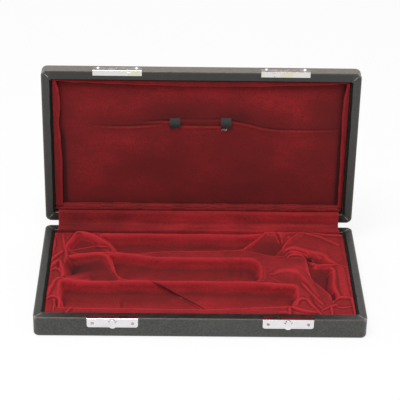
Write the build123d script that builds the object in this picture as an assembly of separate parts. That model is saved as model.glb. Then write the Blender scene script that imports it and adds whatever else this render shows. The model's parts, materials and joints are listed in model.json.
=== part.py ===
from build123d import *
import os
from math import hypot, radians, tan

# A hinged, lined instrument case, open at rest. Millimetres, +Z up, +X to the right, the viewer at -Y.
# The origin is the centre of the base's footprint on the floor.

# Case shell
CASE_W = 320.0          # outside width, along X
CASE_D = 173.0          # outside depth, along Y
BASE_H = 21.5           # height of the base tray up to its rim
LID_H = 14.0            # depth of the lid tray
SKIN = 0.8              # thickness of the grained covering
WALL = 8.4              # thickness of the wooden walls
PANEL = 3.0             # thickness of the bottom and top panels
CORNER_R = 6.0          # plan radius of the covered corners
FLOOR_EDGE_R = 2.6      # radius of the edge round the bottom and round the lid's top
RIM_EDGE_R = 0.9        # radius of the outer and inner edges of each rim
RIM_GAP = 0.4           # gap between the two rims when the case is shut
LID_OPEN_DEG = 90.0     # angle at which the hinges stop

# Hinges, a pair on the back
HINGE_X = 92.0          # distance of each hinge from the middle
HINGE_BACK = 3.0        # pin line behind the back faces
HINGE_W = 30.0
KNUCKLE_R = 2.4
KNUCKLE_W = 13.4        # middle knuckle, on the lid leaf
KNUCKLE_GAP = 0.3
PIN_R = 1.1
PIN_FIT = 0.05
PIN_HEAD_R = 1.7
PIN_HEAD_T = 0.6
LEAF_T = 0.8
LEAF_H = 10.6           # from the pin line to the leaf's far edge
LEAF_NOTCH = 3.0        # from the pin line to the notch round the other leaf's knuckle
LEAF_RIVET_X = 10.0
LEAF_RIVET_Z = 7.4      # from the pin line to the rivets

# Latches, a mirrored pair on the front
LATCH_X = 84.0          # distance of each latch from the middle
PLATE_W = 49.0
PLATE_T = 0.8
PLATE_H = 10.0
FLANGE_D = 5.0
PLATE_CORNER_R = 2.4
PLATE_EDGE_R = 0.25     # rounding of the plates' outer edges
PANEL_DENT = 0.2        # depth of the pressed field in the plate
PANEL_EDGE = 1.3        # border round the pressed field
BOSS_R = 3.9
BOSS_T = 0.35
BOSS_DROP = 7.3         # boss centre below the rim
PLATE_RIVET_X = 19.2
PLATE_RIVET_DROP = 5.5
KNOB_R = 2.6
KNOB_H = 1.5
KNOB_DISH_R = 1.4
KNOB_DISH = 0.35
KNOB_STEM_R = 1.2
KNOB_DROP = 3.0         # knob centre below the rim
KNOB_GAP = 0.12         # running gap between the knob and the boss
SLIDE_TRAVEL = 3.0      # the knob's travel
SLOT_FIT = 0.15         # clearance of the knob's stem in its slot
SLIDE_T = 1.0
SLIDE_H = 3.6
SLIDE_LEFT = 7.0        # slide's outer end from the knob
SLIDE_RIGHT = 6.6       # slide's shoulder from the knob
SLIDE_FIT = 0.2
NOSE_H = 1.5            # height of the slide's nose
NOSE_GAP = 0.3          # gaps between the nose and the hook
MORTISE_LEFT = 16.5
SPRING_T = 0.3
SPRING_WAVES = 5
HOOK_U = 11.4           # hook's place, from the latch's middle towards the case's middle
HOOK_SLOT_W = 8.6
HOOK_SLOT_D = 3.6
HOOK_T = 0.8
HOOK_STEM_W = 3.6
HOOK_LEN = 7.0          # reach of the hook below the lid's rim
HOOK_BARB = 2.4
HOOK_BARB_H = 1.7
HOOK_ROOT = 2.6         # hook's length inside the lid wall
CATCH_H = 7.7
CATCH_RIVET_UP = 5.6
CATCH_HEAD_R = 1.8
CATCH_HEAD_H = 1.3
RIVET_R = 0.8
RIVET_HEAD_R = 1.7
RIVET_HEAD_H = 0.7
RIVET_LEN = 5.2
RIVET_FIT = 0.05

# Base lining
BOARD_T = 1.2           # card under the lining
LINING_GAP = 1.0        # dark gap round the lining
LINING_DROP = 2.5       # lining's ridges below the rim
LINING_EDGE_R = 3.0     # plan radius of the lining's corners
CLOTH_T = 1.6           # least cloth and wadding over the formers
CARD_T = 1.2            # thin dividers
CREST_R = 1.6           # radius of the lining's upper edges
TROUGH_SHARE = 0.7      # radius along a hollow's floor, of the plan radius that the walls leave there
CHANNEL_CORNER_R = 9.0  # plan radius of the channels' ends
CHANNEL_DRAFT = 8.0     # slope of the channels' walls in degrees
FOLD_SUNK = 3.0         # depth of each fold's root in the lining
FOLD_END = 0.35         # size of a fold's ends, of its middle

# Widths from front to back; the front channel takes what is left
FRONT_RAIL_W = 10.5
FRONT_RIDGE_W = 3.0
MIDDLE_W = 42.5
REAR_RIDGE_W = 14.5
REAR_W = 30.5
REAR_RAIL_W = 3.5

# Ends of the channels, from the lining's left end and from its right end
FRONT_ENDS = (12.0, 56.0)
MIDDLE_ENDS = (60.0, 87.0)
REAR_ENDS = (61.0, 103.0)
DIVIDER_START = 96.0    # rear divider's left end, from the lining's left end

# Hollows between the cloth's folds: the end that they are measured from, depth, plan radius and
# corners. A corner is the distance from that end of the lining and from its back edge.
POCKETS = {
    "left_middle": ("left", 11.0, 5.0, [(14, 84.5), (57, 78.5), (54, 48.5), (14, 46.5)]),
    "left_rear": ("left", 10.0, 5.0, [(15, 35.5), (57, 35.5), (52, 18.5), (37, 4.5), (21, 2.5)]),
    "right_rear": ("right", 9.0, 5.0, [(97, 33.5), (66, 41.5), (63, 13.5), (75, 3.5)]),
    "right_far": ("right", 4.5, 5.0, [(57, 25.5), (11, 45.5), (11, 21.5), (37, 5.5)]),
    "right_cavity": ("right", 11.0, 3.2, [(40.5, 50.5), (32, 52.5), (17, 69.5), (15, 115.5),
                                          (22, 113.5), (38, 87.5)]),
}

# The cloth's main folds: the end that they are measured from, width, height and points.
# A point is the distance from that end, from the back edge and below the lining's top.
FOLDS = [
    ("left", 9.0, 2.6, [(97, 92.5, 1.4), (109, 99.5, 8.5), (121, 108.5, 11.4), (135, 124.5, 11.8),
                        (149, 136.5, 7.0), (157, 143.5, 0.8)]),
    ("left", 8.0, 3.0, [(52, 48.5, 3.5), (57, 57.5, 7.5), (59.5, 67.5, 8.5), (63, 81.5, 8.5),
                        (70, 90.5, 3.5)]),
    ("left", 7.0, 1.7, [(19, 2.0, 0.4), (32, 2.2, 0.2), (44, 7.5, 0.3), (55, 20.5, 0.4),
                        (61, 37.5, 0.6)]),
    ("left", 8.0, 3.2, [(12, 37.5, 1.2), (25, 34.5, 8.0), (39, 28.5, 8.5), (52, 26.5, 7.0),
                        (58, 29.5, 1.6)]),
    ("left", 6.0, 1.4, [(7, 38.5, 0.3), (6, 57.5, 0.3), (9.5, 73.5, 0.3), (11.5, 87.5, 0.5)]),
    ("right", 6.0, 1.6, [(105, 35.5, 0.8), (97, 23.5, 0.5), (89, 12.5, 0.4), (79, 2.2, 0.3), (53, 2.0, 0.2),
                         (27, 4.5, 0.2), (7, 17.5, 0.4)]),
    ("right", 6.0, 1.7, [(63, 44.5, 0.8), (64, 33.5, 0.5), (60, 17.5, 0.4), (49, 6.5, 0.4),
                         (37, 4.5, 0.5)]),
    ("right", 6.0, 1.7, [(59, 28.5, 0.6), (45, 32.5, 0.4), (31, 40.5, 0.4), (21, 46.5, 0.4),
                         (11, 59.5, 0.6)]),
    ("right", 6.0, 1.7, [(57, 39.5, 0.8), (46, 41.5, 0.5), (37, 51.5, 1.0), (30, 62.5, 1.6),
                         (23, 65.5, 1.8)]),
    ("right", 7.0, 1.6, [(83, 75.5, 0.8), (73, 86.5, 0.5), (59, 94.5, 0.4), (49, 97.5, 0.4), (43, 111.5, 0.8),
                         (39, 119.5, 1.0)]),
    ("right", 8.0, 1.7, [(69, 72.5, 0.8), (57, 73.5, 0.4), (48, 81.5, 0.4), (39, 93.5, 0.6), (27, 105.5, 0.6),
                         (18, 117.5, 0.8)]),
    ("right", 6.0, 1.5, [(18, 127.5, 0.6), (12, 118.5, 0.3), (3, 117.5, 0.4)]),
]

# Lid lining
LID_BOARD_T = 1.2
PAD_SIDE_INSET = 7.2    # pad's edge from the inside of the lid, at the ends
PAD_FRONT_INSET = 10.4
PAD_BACK_INSET = 7.6
PAD_T = 2.4
PAD_CROWN = 0.8
CREASE_Y = -25.7        # sewn crease that the loops pull in
CREASE_DEPTH = 0.5
STRIP_FIT = 0.7
STRIP_DROP = 1.2        # strips' edges below the rim
LOOP_X = 26.0
LOOP_W = 10.6
LOOP_H = 13.8
LOOP_T = 0.8
LOOP_RISE = 3.0         # loops' crown above the pad
LOOP_FIT = 0.1

# Hinge strip of lining cloth
STRIP_T = 0.7
STRIP_HALF_W = 146.5
STRIP_CLEAR = 0.3
STRIP_IN_BASE = 2.6     # down the inside of the base's back wall
STRIP_IN_LID = 5.0      # over the inside of the lid's back wall

# Worked-out places
FRONT = -CASE_D / 2
BACK = CASE_D / 2
RIM = WALL + 2 * SKIN
INNER_X = CASE_W / 2 - RIM
INNER_Y = CASE_D / 2 - RIM
FLOOR_Z = SKIN + PANEL
LID_RIM_Z = BASE_H + RIM_GAP
LID_TOP_Z = LID_RIM_Z + LID_H
LID_CEILING_Z = LID_TOP_Z - FLOOR_Z
HINGE_Y = BACK + HINGE_BACK
HINGE_Z = BASE_H
PLATE_FACE = FRONT - PLATE_T
KNOB_Z = BASE_H - KNOB_DROP
SLOT_HALF = SLIDE_TRAVEL + KNOB_STEM_R
SLIDE_Y0 = FRONT + SLIDE_FIT
HOOK_Y = SLIDE_Y0 + SLIDE_T / 2
BARB_TOP = LID_RIM_Z - HOOK_LEN + HOOK_BARB_H
MORTISE_D = SLIDE_T + 2 * SLIDE_FIT
BOARD_TOP = FLOOR_Z + BOARD_T
LINING_TOP = BASE_H - LINING_DROP
LINING_FLOOR = BOARD_TOP + CLOTH_T
LINING_X = INNER_X - LINING_GAP
LINING_Y = INNER_Y - LINING_GAP
REAR_Y = (LINING_Y - REAR_RAIL_W - REAR_W, LINING_Y - REAR_RAIL_W)
MIDDLE_Y = (REAR_Y[0] - REAR_RIDGE_W - MIDDLE_W, REAR_Y[0] - REAR_RIDGE_W)
FRONT_Y = (-LINING_Y + FRONT_RAIL_W, MIDDLE_Y[0] - FRONT_RIDGE_W)

OPEN = Pos(0, HINGE_Y, HINGE_Z) * Rot(-LID_OPEN_DEG, 0, 0) * Pos(0, -HINGE_Y, -HINGE_Z)


def block(x0, x1, y0, y1, z0, z1):
    return Pos((x0 + x1) / 2, (y0 + y1) / 2, (z0 + z1) / 2) * Box(x1 - x0, y1 - y0, z1 - z0)


def round_block(w, d, z0, z1, r):
    return Pos(0, 0, z0) * extrude(RectangleRounded(w, d, r), z1 - z0)


def rod_y(r, x, z, y0, y1):
    """Round bar along Y."""
    return Pos(x, (y0 + y1) / 2, z) * Rot(90, 0, 0) * Cylinder(r, y1 - y0)


def rod_x(r, y, z, x0, x1):
    """Round bar along X."""
    return Pos((x0 + x1) / 2, y, z) * Rot(0, 90, 0) * Cylinder(r, x1 - x0)


def xz_plate(points, y0, y1):
    """Flat outline in X and Z, given thickness from y0 to y1."""
    face = make_face(Polyline(*[(x, 0, z) for x, z in points], close=True))
    return Pos(0, y1, 0) * extrude(face, y1 - y0, dir=(0, -1, 0))


def yz_bar(points, x0, x1):
    """Flat outline in Y and Z, run along X from x0 to x1."""
    face = make_face(Polyline(*[(x0, y, z) for y, z in points], close=True))
    return extrude(face, x1 - x0, dir=(1, 0, 0))


def rivet(x, z, head_r, head_h, seat_y, out=-1):
    """Domed rivet along Y, its head on the face at seat_y and its shank going inwards."""
    ball_r = (head_r ** 2 + head_h ** 2) / (2 * head_h)
    mid_r = head_r / 2
    mid_h = head_h - ball_r + (ball_r ** 2 - mid_r ** 2) ** 0.5
    profile = make_face([
        Line((0, 0), (head_r, 0)),
        ThreePointArc((head_r, 0), (mid_r, mid_h), (0, head_h)),
        Line((0, head_h), (0, 0)),
    ])
    head = revolve(profile, Axis.Y)
    shank = Pos(0, -RIVET_LEN / 2, 0) * Rot(90, 0, 0) * Cylinder(RIVET_R, RIVET_LEN)
    return Pos(x, seat_y, z) * Rot(0, 0, 180 if out < 0 else 0) * (head + shank)


def tray(height):
    """Covered form and wood of a tray standing on z = 0 with its opening up."""
    outer = round_block(CASE_W, CASE_D, 0, height, CORNER_R)
    outer = fillet(outer.edges().group_by(Axis.Z)[0], FLOOR_EDGE_R)
    outer -= block(-INNER_X, INNER_X, -INNER_Y, INNER_Y, FLOOR_Z, height + 1)
    outer = fillet(outer.edges().group_by(Axis.Z)[-1], RIM_EDGE_R)
    wood = round_block(CASE_W - 2 * SKIN, CASE_D - 2 * SKIN, SKIN, height - SKIN, CORNER_R - SKIN)
    wood = fillet(wood.edges().group_by(Axis.Z)[0], FLOOR_EDGE_R - SKIN)
    return outer, wood


def tray_pieces(height):
    """Panel, four mitred walls, bottom cover, and wall cover over the rim and down the inside."""
    outer, wood = tray(height)
    panel = wood & block(-CASE_W, CASE_W, -CASE_D, CASE_D, 0, FLOOR_Z)
    hollow = block(-INNER_X - SKIN, INNER_X + SKIN, -INNER_Y - SKIN, INNER_Y + SKIN, 0, height)
    frame = (wood - hollow) & block(-CASE_W, CASE_W, -CASE_D, CASE_D, FLOOR_Z, height)
    hx, hy, cut = CASE_W / 2, CASE_D / 2, 2 * RIM
    ends = [(-hx, -hy), (hx, -hy), (hx, hy), (-hx, hy)]
    inner = [(-hx + cut, -hy + cut), (hx - cut, -hy + cut), (hx - cut, hy - cut), (-hx + cut, hy - cut)]
    walls = []
    for i in range(4):
        j = (i + 1) % 4
        wedge = extrude(make_face(Polyline(ends[i], ends[j], inner[j], inner[i], close=True)), height)
        walls.append(frame & wedge)
    bottom_cover = outer & block(-CASE_W, CASE_W, -CASE_D, CASE_D, 0, SKIN)
    wall_cover = (outer - panel - frame) & block(-CASE_W, CASE_W, -CASE_D, CASE_D, SKIN, height)
    return panel, walls, bottom_cover, wall_cover


def both(piece):
    """A left piece and its mirrored twin."""
    return {"left": piece, "right": mirror(piece, about=Plane.YZ)}


def latch_plate():
    """Base half of a latch: front plate with its boss, flange over the rim, slots and rivet holes."""
    x0, x1 = -LATCH_X - PLATE_W / 2, -LATCH_X + PLATE_W / 2
    bottom = BASE_H - PLATE_H
    front = block(x0, x1, PLATE_FACE, FRONT, bottom, BASE_H)
    front = fillet(front.edges().filter_by(Axis.Y).group_by(Axis.Z)[0], PLATE_CORNER_R)
    outline = front.edges().group_by(Axis.Y)[0].sort_by(Axis.Z)[:-1]
    front = fillet(outline, PLATE_EDGE_R)
    dent = block(x0 + PANEL_EDGE, x1 - PANEL_EDGE, PLATE_FACE - 1, PLATE_FACE + PANEL_DENT,
                 bottom + PANEL_EDGE, BASE_H - PANEL_EDGE)
    dent = fillet(dent.edges().filter_by(Axis.Y), PLATE_CORNER_R - PANEL_EDGE / 2)
    boss = rod_y(BOSS_R, -LATCH_X, BASE_H - BOSS_DROP, PLATE_FACE - BOSS_T, FRONT)
    boss = fillet(boss.edges().group_by(Axis.Y)[0], BOSS_T * 0.8)
    flange = block(x0, x1, PLATE_FACE, PLATE_FACE + PLATE_T + FLANGE_D, BASE_H - PLATE_T, BASE_H)
    plate = front - dent + flange
    bend = plate.edges().filter_by(Axis.X).sort_by(lambda e: e.center().Y - e.center().Z)[0]
    plate = fillet(bend, PLATE_T * 0.7) + boss
    slot = Pos(-LATCH_X, FRONT, KNOB_Z) * Rot(90, 0, 0) * extrude(
        SlotOverall(2 * SLOT_HALF, 2 * (KNOB_STEM_R + SLOT_FIT)), 2 * PLATE_T + 2 * BOSS_T, both=True)
    mouth = Pos(-LATCH_X + HOOK_U, FRONT + SLIDE_FIT / 2 + HOOK_SLOT_D / 2, BASE_H) * extrude(
        SlotOverall(HOOK_SLOT_W, HOOK_SLOT_D), PLATE_T * 1.5, both=True)
    plate = plate - slot - mouth
    for side in (-1, 1):
        x = -LATCH_X + side * PLATE_RIVET_X
        plate -= rod_y(RIVET_R + RIVET_FIT, x, BASE_H - PLATE_RIVET_DROP, PLATE_FACE - 1, FRONT + 1)
    return plate


def latch_slide():
    """Sliding bolt behind the plate; its nose stands over the hook's barb."""
    u0, u1 = -SLIDE_LEFT, SLIDE_RIGHT
    z0, z1 = KNOB_Z - SLIDE_H / 2, KNOB_Z + SLIDE_H / 2
    tip = HOOK_U - HOOK_STEM_W / 2 - NOSE_GAP
    foot = BARB_TOP + NOSE_GAP
    outline = [(u0, z0), (u1, z0), (u1, foot), (tip, foot), (tip, foot + NOSE_H), (u1, foot + NOSE_H),
               (u1, z1), (u0, z1)]
    bolt = xz_plate([(-LATCH_X + u, z) for u, z in outline], SLIDE_Y0, SLIDE_Y0 + SLIDE_T)
    return bolt - rod_y(KNOB_STEM_R + RIVET_FIT, -LATCH_X, KNOB_Z, FRONT - 2, FRONT + 3)


def latch_knob():
    """Round knob with a shallow dish, on a stem that goes through the plate into the slide."""
    seat = PLATE_FACE - BOSS_T - KNOB_GAP
    head = rod_y(KNOB_R, -LATCH_X, KNOB_Z, seat - KNOB_H, seat)
    head = fillet(head.edges().group_by(Axis.Y)[0], KNOB_H * 0.6)
    ball_r = (KNOB_DISH_R ** 2 + KNOB_DISH ** 2) / (2 * KNOB_DISH)
    head -= Pos(-LATCH_X, seat - KNOB_H + KNOB_DISH - ball_r, KNOB_Z) * Sphere(ball_r)
    return head + rod_y(KNOB_STEM_R, -LATCH_X, KNOB_Z, seat, SLIDE_Y0 + SLIDE_T)


def latch_spring():
    """Folded leaf spring between the mortise's outer end and the slide."""
    x0, x1 = -LATCH_X - MORTISE_LEFT + SPRING_T, -LATCH_X - SLIDE_LEFT - SPRING_T
    half = SLIDE_H / 2 - SPRING_T
    points = []
    for i in range(SPRING_WAVES + 1):
        points.append((x0 + (x1 - x0) * i / SPRING_WAVES, KNOB_Z + (half if i % 2 else -half)))
    leg = SPRING_T / 2
    upper = [(x, z + leg) for x, z in points]
    lower = [(x + leg, z - leg) for x, z in reversed(points)]
    return xz_plate(upper + lower, SLIDE_Y0, SLIDE_Y0 + SLIDE_T)


def plate_rivets():
    rivets = [rivet(-LATCH_X + side * PLATE_RIVET_X, BASE_H - PLATE_RIVET_DROP,
                    RIVET_HEAD_R, RIVET_HEAD_H, PLATE_FACE + PANEL_DENT) for side in (-1, 1)]
    return Compound(children=[r.solid() for r in rivets])


def latch_cuts():
    """What the front wall and the wall cover lose round the left latch."""
    x0, x1 = -LATCH_X - PLATE_W / 2, -LATCH_X + PLATE_W / 2
    seat = block(x0, x1, FRONT - 1, FRONT + FLANGE_D, BASE_H - PLATE_T, BASE_H + 1)
    mortise = block(-LATCH_X - MORTISE_LEFT, -LATCH_X + HOOK_U, FRONT - 1, FRONT + MORTISE_D,
                    KNOB_Z - SLIDE_H / 2 - SLIDE_FIT, KNOB_Z + SLIDE_H / 2 + SLIDE_FIT)
    well = block(-LATCH_X + HOOK_U - HOOK_SLOT_W / 2, -LATCH_X + HOOK_U + HOOK_SLOT_W / 2,
                 FRONT - 1, FRONT + HOOK_SLOT_D + 0.2, LID_RIM_Z - HOOK_LEN - 0.8, BASE_H)
    cuts = seat + mortise + well
    for side in (-1, 1):
        cuts += rod_y(RIVET_R + RIVET_FIT, -LATCH_X + side * PLATE_RIVET_X,
                      BASE_H - PLATE_RIVET_DROP, FRONT - 1, PLATE_FACE + PANEL_DENT + RIVET_LEN)
    return cuts


def catch_plate():
    """Lid half of a latch, in the shut pose: plate on the lid's front and flange on its rim."""
    x0, x1 = -LATCH_X - PLATE_W / 2, -LATCH_X + PLATE_W / 2
    front = block(x0, x1, PLATE_FACE, FRONT, LID_RIM_Z, LID_RIM_Z + CATCH_H)
    front = fillet(front.edges().filter_by(Axis.Y).group_by(Axis.Z)[-1], PLATE_CORNER_R)
    outline = front.edges().group_by(Axis.Y)[0].sort_by(Axis.Z)[1:]
    front = fillet(outline, PLATE_EDGE_R)
    flange = block(x0, x1, PLATE_FACE, FRONT + FLANGE_D, LID_RIM_Z, LID_RIM_Z + PLATE_T)
    plate = front + flange
    bend = plate.edges().filter_by(Axis.X).sort_by(lambda e: e.center().Y + e.center().Z)[0]
    plate = fillet(bend, PLATE_T * 0.7)
    plate -= block(-LATCH_X + HOOK_U - HOOK_STEM_W / 2, -LATCH_X + HOOK_U + HOOK_STEM_W / 2,
                   HOOK_Y - HOOK_T / 2, HOOK_Y + HOOK_T / 2, LID_RIM_Z - 1, LID_RIM_Z + PLATE_T + 1)
    for side in (-1, 1):
        x = -LATCH_X + side * PLATE_RIVET_X
        plate -= rod_y(RIVET_R + RIVET_FIT, x, LID_RIM_Z + CATCH_RIVET_UP, PLATE_FACE - 1, FRONT + 1)
    return plate


def latch_hook():
    """Sheet hook with a barb towards the slide and a rounded toe, in the shut pose."""
    half = HOOK_STEM_W / 2
    top, tip = LID_RIM_Z + PLATE_T + HOOK_ROOT, LID_RIM_Z - HOOK_LEN
    outline = [(-half, top), (half, top), (half, tip + 0.6), (half - 0.6, tip), (0.7, tip), (0.1, tip + 0.7),
               (-0.6, tip), (-half, tip + 0.1), (-half - HOOK_BARB, BARB_TOP - 0.7),
               (-half - HOOK_BARB, BARB_TOP), (-half, BARB_TOP)]
    points = [(-LATCH_X + HOOK_U + u, z) for u, z in outline]
    return xz_plate(points, HOOK_Y - HOOK_T / 2, HOOK_Y + HOOK_T / 2)


def catch_rivets():
    rivets = [rivet(-LATCH_X + side * PLATE_RIVET_X, LID_RIM_Z + CATCH_RIVET_UP,
                    CATCH_HEAD_R, CATCH_HEAD_H, PLATE_FACE) for side in (-1, 1)]
    return Compound(children=[r.solid() for r in rivets])


def catch_cuts():
    x0, x1 = -LATCH_X - PLATE_W / 2, -LATCH_X + PLATE_W / 2
    cuts = block(x0, x1, FRONT - 1, FRONT + FLANGE_D, LID_RIM_Z - 1, LID_RIM_Z + PLATE_T)
    root = HOOK_STEM_W / 2 + RIVET_FIT
    cuts += block(-LATCH_X + HOOK_U - root, -LATCH_X + HOOK_U + root,
                  FRONT - 1, HOOK_Y + HOOK_T / 2 + RIVET_FIT,
                  LID_RIM_Z, LID_RIM_Z + PLATE_T + HOOK_ROOT + RIVET_FIT)
    for side in (-1, 1):
        cuts += rod_y(RIVET_R + RIVET_FIT, -LATCH_X + side * PLATE_RIVET_X,
                      LID_RIM_Z + CATCH_RIVET_UP, FRONT - 1, PLATE_FACE + RIVET_LEN)
    return cuts


def hinge_leaf(lid):
    """One leaf of the left hinge in the shut pose, with its knuckles and rivet holes."""
    up = 1 if lid else -1
    x0, x1 = -HINGE_X - HINGE_W / 2, -HINGE_X + HINGE_W / 2
    z0, z1 = sorted((HINGE_Z, HINGE_Z + up * LEAF_H))
    leaf = block(x0, x1, BACK, BACK + LEAF_T, z0, z1)
    far = leaf.edges().filter_by(Axis.Y).sort_by(lambda e: -up * e.center().Z)[:2]
    leaf = fillet(far, PLATE_CORNER_R)
    half = KNUCKLE_W / 2
    notch = sorted((HINGE_Z - up, HINGE_Z + up * LEAF_NOTCH))
    if lid:
        spans = [(-HINGE_X - half, -HINGE_X + half)]
        open_spans = [(x0 - 1, spans[0][0]), (spans[0][1], x1 + 1)]
    else:
        spans = [(x0, -HINGE_X - half - KNUCKLE_GAP), (-HINGE_X + half + KNUCKLE_GAP, x1)]
        open_spans = [(spans[0][1], spans[1][0])]
    for a, b in open_spans:
        leaf -= block(a, b, BACK - 1, BACK + LEAF_T + 1, *notch)
    for a, b in spans:
        leaf += rod_x(KNUCKLE_R, HINGE_Y, HINGE_Z, a, b)
    leaf -= rod_x(PIN_R + PIN_FIT, HINGE_Y, HINGE_Z, x0 - 1, x1 + 1)
    for side in (-1, 1):
        leaf -= rod_y(RIVET_R + RIVET_FIT, -HINGE_X + side * LEAF_RIVET_X,
                      HINGE_Z + up * LEAF_RIVET_Z, BACK - 1, BACK + LEAF_T + 1)
    return leaf


def hinge_pin():
    x0, x1 = -HINGE_X - HINGE_W / 2, -HINGE_X + HINGE_W / 2
    pin = rod_x(PIN_R, HINGE_Y, HINGE_Z, x0, x1)
    pin += rod_x(PIN_HEAD_R, HINGE_Y, HINGE_Z, x0 - PIN_HEAD_T, x0)
    return pin + rod_x(PIN_HEAD_R, HINGE_Y, HINGE_Z, x1, x1 + PIN_HEAD_T)


def leaf_rivets(up):
    """All four rivets of one half of both hinges."""
    rivets = [rivet(x + side * LEAF_RIVET_X, HINGE_Z + up * LEAF_RIVET_Z, RIVET_HEAD_R, RIVET_HEAD_H,
                    BACK + LEAF_T, out=1) for x in (-HINGE_X, HINGE_X) for side in (-1, 1)]
    return Compound(children=[r.solid() for r in rivets])


def leaf_rivet_holes(up):
    holes = [rod_y(RIVET_R + RIVET_FIT, x + side * LEAF_RIVET_X, HINGE_Z + up * LEAF_RIVET_Z,
                   BACK + LEAF_T - RIVET_LEN, BACK + 1) for x in (-HINGE_X, HINGE_X) for side in (-1, 1)]
    return holes[0] + holes[1:]


def in_lining(end, across, back):
    """Plan place of a point given from one end of the lining and from its back edge."""
    return (-LINING_X + across if end == "left" else LINING_X - across), LINING_Y - back


def hollow(depth, corner_r, corners):
    """Cutter of a channel or pocket: sloping walls, rounded plan corners and a rounded floor."""
    plan = make_face(Polyline(*corners, close=True))
    mouth = Pos(0, 0, LINING_TOP) * fillet(plan.vertices(), corner_r)
    cutter = extrude(mouth, depth, dir=(0, 0, -1), taper=CHANNEL_DRAFT)
    trough_r = TROUGH_SHARE * (corner_r - depth * tan(radians(CHANNEL_DRAFT)))
    cutter = fillet(cutter.edges().group_by(Axis.Z)[0], trough_r)
    return cutter + extrude(mouth, CREST_R, dir=(0, 0, 1))


def channel(ends, y0, y1):
    x0, x1 = -LINING_X + ends[0], LINING_X - ends[1]
    return hollow(LINING_TOP - LINING_FLOOR, CHANNEL_CORNER_R, [(x0, y0), (x1, y0), (x1, y1), (x0, y1)])


def pocket(end, depth, corner_r, corners):
    return hollow(depth, corner_r, [in_lining(end, *corner) for corner in corners])


def fold(end, width, height, points):
    """Rounded fold of cloth along its points, thin at its two ends."""
    sections = []
    last = len(points) - 1
    places = [(*in_lining(end, across, back), LINING_TOP - down) for across, back, down in points]
    for i, (x, y, z) in enumerate(places):
        ax, ay, _ = places[max(i - 1, 0)]
        bx, by, _ = places[min(i + 1, last)]
        length = hypot(bx - ax, by - ay)
        nx, ny = -(by - ay) / length, (bx - ax) / length
        size = FOLD_END if i in (0, last) else 1.0
        w, h = width * size / 2, height * size
        a, b = (x - nx * w, y - ny * w), (x + nx * w, y + ny * w)
        root = z - FOLD_SUNK
        crown = ThreePointArc((*a, z), (x, y, z + h), (*b, z))
        sides = Polyline((*b, z), (*b, root), (*a, root), (*a, z))
        sections.append(make_face([*crown.edges(), *sides.edges()]))
    return loft(sections)


def lining_formers():
    """Rails, dividers and end blocks that the base lining is stretched over."""
    top = LINING_TOP - CLOTH_T
    side = 2 * CLOTH_T
    edge_x, edge_y = LINING_X - CLOTH_T, LINING_Y - CLOTH_T
    mid_front = (FRONT_Y[1] + MIDDLE_Y[0]) / 2
    mid_rear = (REAR_Y[1] + LINING_Y) / 2
    cavity_x = LINING_X - min(across for across, _ in POCKETS["right_cavity"][3])
    low = LINING_TOP - POCKETS["right_far"][1] - CLOTH_T
    front_x = (-LINING_X + FRONT_ENDS[0], LINING_X - FRONT_ENDS[1])
    middle_x = (-LINING_X + MIDDLE_ENDS[0], LINING_X - MIDDLE_ENDS[1])
    rear_x = (-LINING_X + REAR_ENDS[0], LINING_X - REAR_ENDS[1])
    wide_x = (-LINING_X + DIVIDER_START, rear_x[1])
    return {
        "front_rail": block(*front_x, -edge_y, FRONT_Y[0] - side, BOARD_TOP, top),
        "rear_rail": block(*rear_x, mid_rear - CARD_T / 2, mid_rear + CARD_T / 2, BOARD_TOP, top),
        "rear_divider": block(*wide_x, MIDDLE_Y[1] + side, REAR_Y[0] - side, BOARD_TOP, top),
        "front_divider": block(*middle_x, mid_front - CARD_T / 2, mid_front + CARD_T / 2, BOARD_TOP, top),
        "left_end_block": block(-edge_x, front_x[0] - 2 * side, -edge_y, edge_y, BOARD_TOP, top),
        "right_end_block": block(cavity_x + CLOTH_T, edge_x, -edge_y, edge_y, BOARD_TOP, low),
    }


def base_lining(formers):
    """Padded cloth lining of the base with its channels, pockets and main folds."""
    lining = block(-LINING_X, LINING_X, -LINING_Y, LINING_Y, BOARD_TOP, LINING_TOP)
    lining = fillet(lining.edges().filter_by(Axis.Z), LINING_EDGE_R)
    lining = fillet(lining.edges().group_by(Axis.Z)[-1], CREST_R)
    cutters = [channel(FRONT_ENDS, *FRONT_Y), channel(MIDDLE_ENDS, *MIDDLE_Y), channel(REAR_ENDS, *REAR_Y)]
    cutters += [pocket(*p) for p in POCKETS.values()]
    lining = lining - cutters
    lining = lining + [fold(*f) for f in FOLDS]
    lining = lining & block(-LINING_X, LINING_X, -LINING_Y, LINING_Y, BOARD_TOP, BASE_H)
    for former in formers.values():
        lining -= former
    return lining


def lid_pad():
    """Padded panel of the lid in the shut pose, crowned on each side of the sewn crease."""
    x = INNER_X - PAD_SIDE_INSET
    y0, y1 = -INNER_Y + PAD_FRONT_INSET, INNER_Y - PAD_BACK_INSET
    top = LID_CEILING_Z - LID_BOARD_T
    edge, crown = top - PAD_T + PAD_CROWN, top - PAD_T
    crease = (-x, CREASE_Y, crown + CREASE_DEPTH)
    line = [
        Line((-x, y0, edge), (-x, y0, top)),
        Line((-x, y0, top), (-x, y1, top)),
        Line((-x, y1, top), (-x, y1, edge)),
        ThreePointArc((-x, y1, edge), (-x, (y1 + CREASE_Y) / 2, crown), crease),
        ThreePointArc(crease, (-x, (CREASE_Y + y0) / 2, crown), (-x, y0, edge)),
    ]
    pad = extrude(make_face(line), 2 * x, dir=(1, 0, 0))
    for side in (-1, 1):
        for y in (CREASE_Y - LOOP_H / 2, CREASE_Y + LOOP_H / 2 - LOOP_T):
            pad -= block(side * LOOP_X - LOOP_W / 2 - LOOP_FIT, side * LOOP_X + LOOP_W / 2 + LOOP_FIT,
                         y - LOOP_FIT, y + LOOP_T + LOOP_FIT, crown - 2, top + 1)
    return pad


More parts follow.
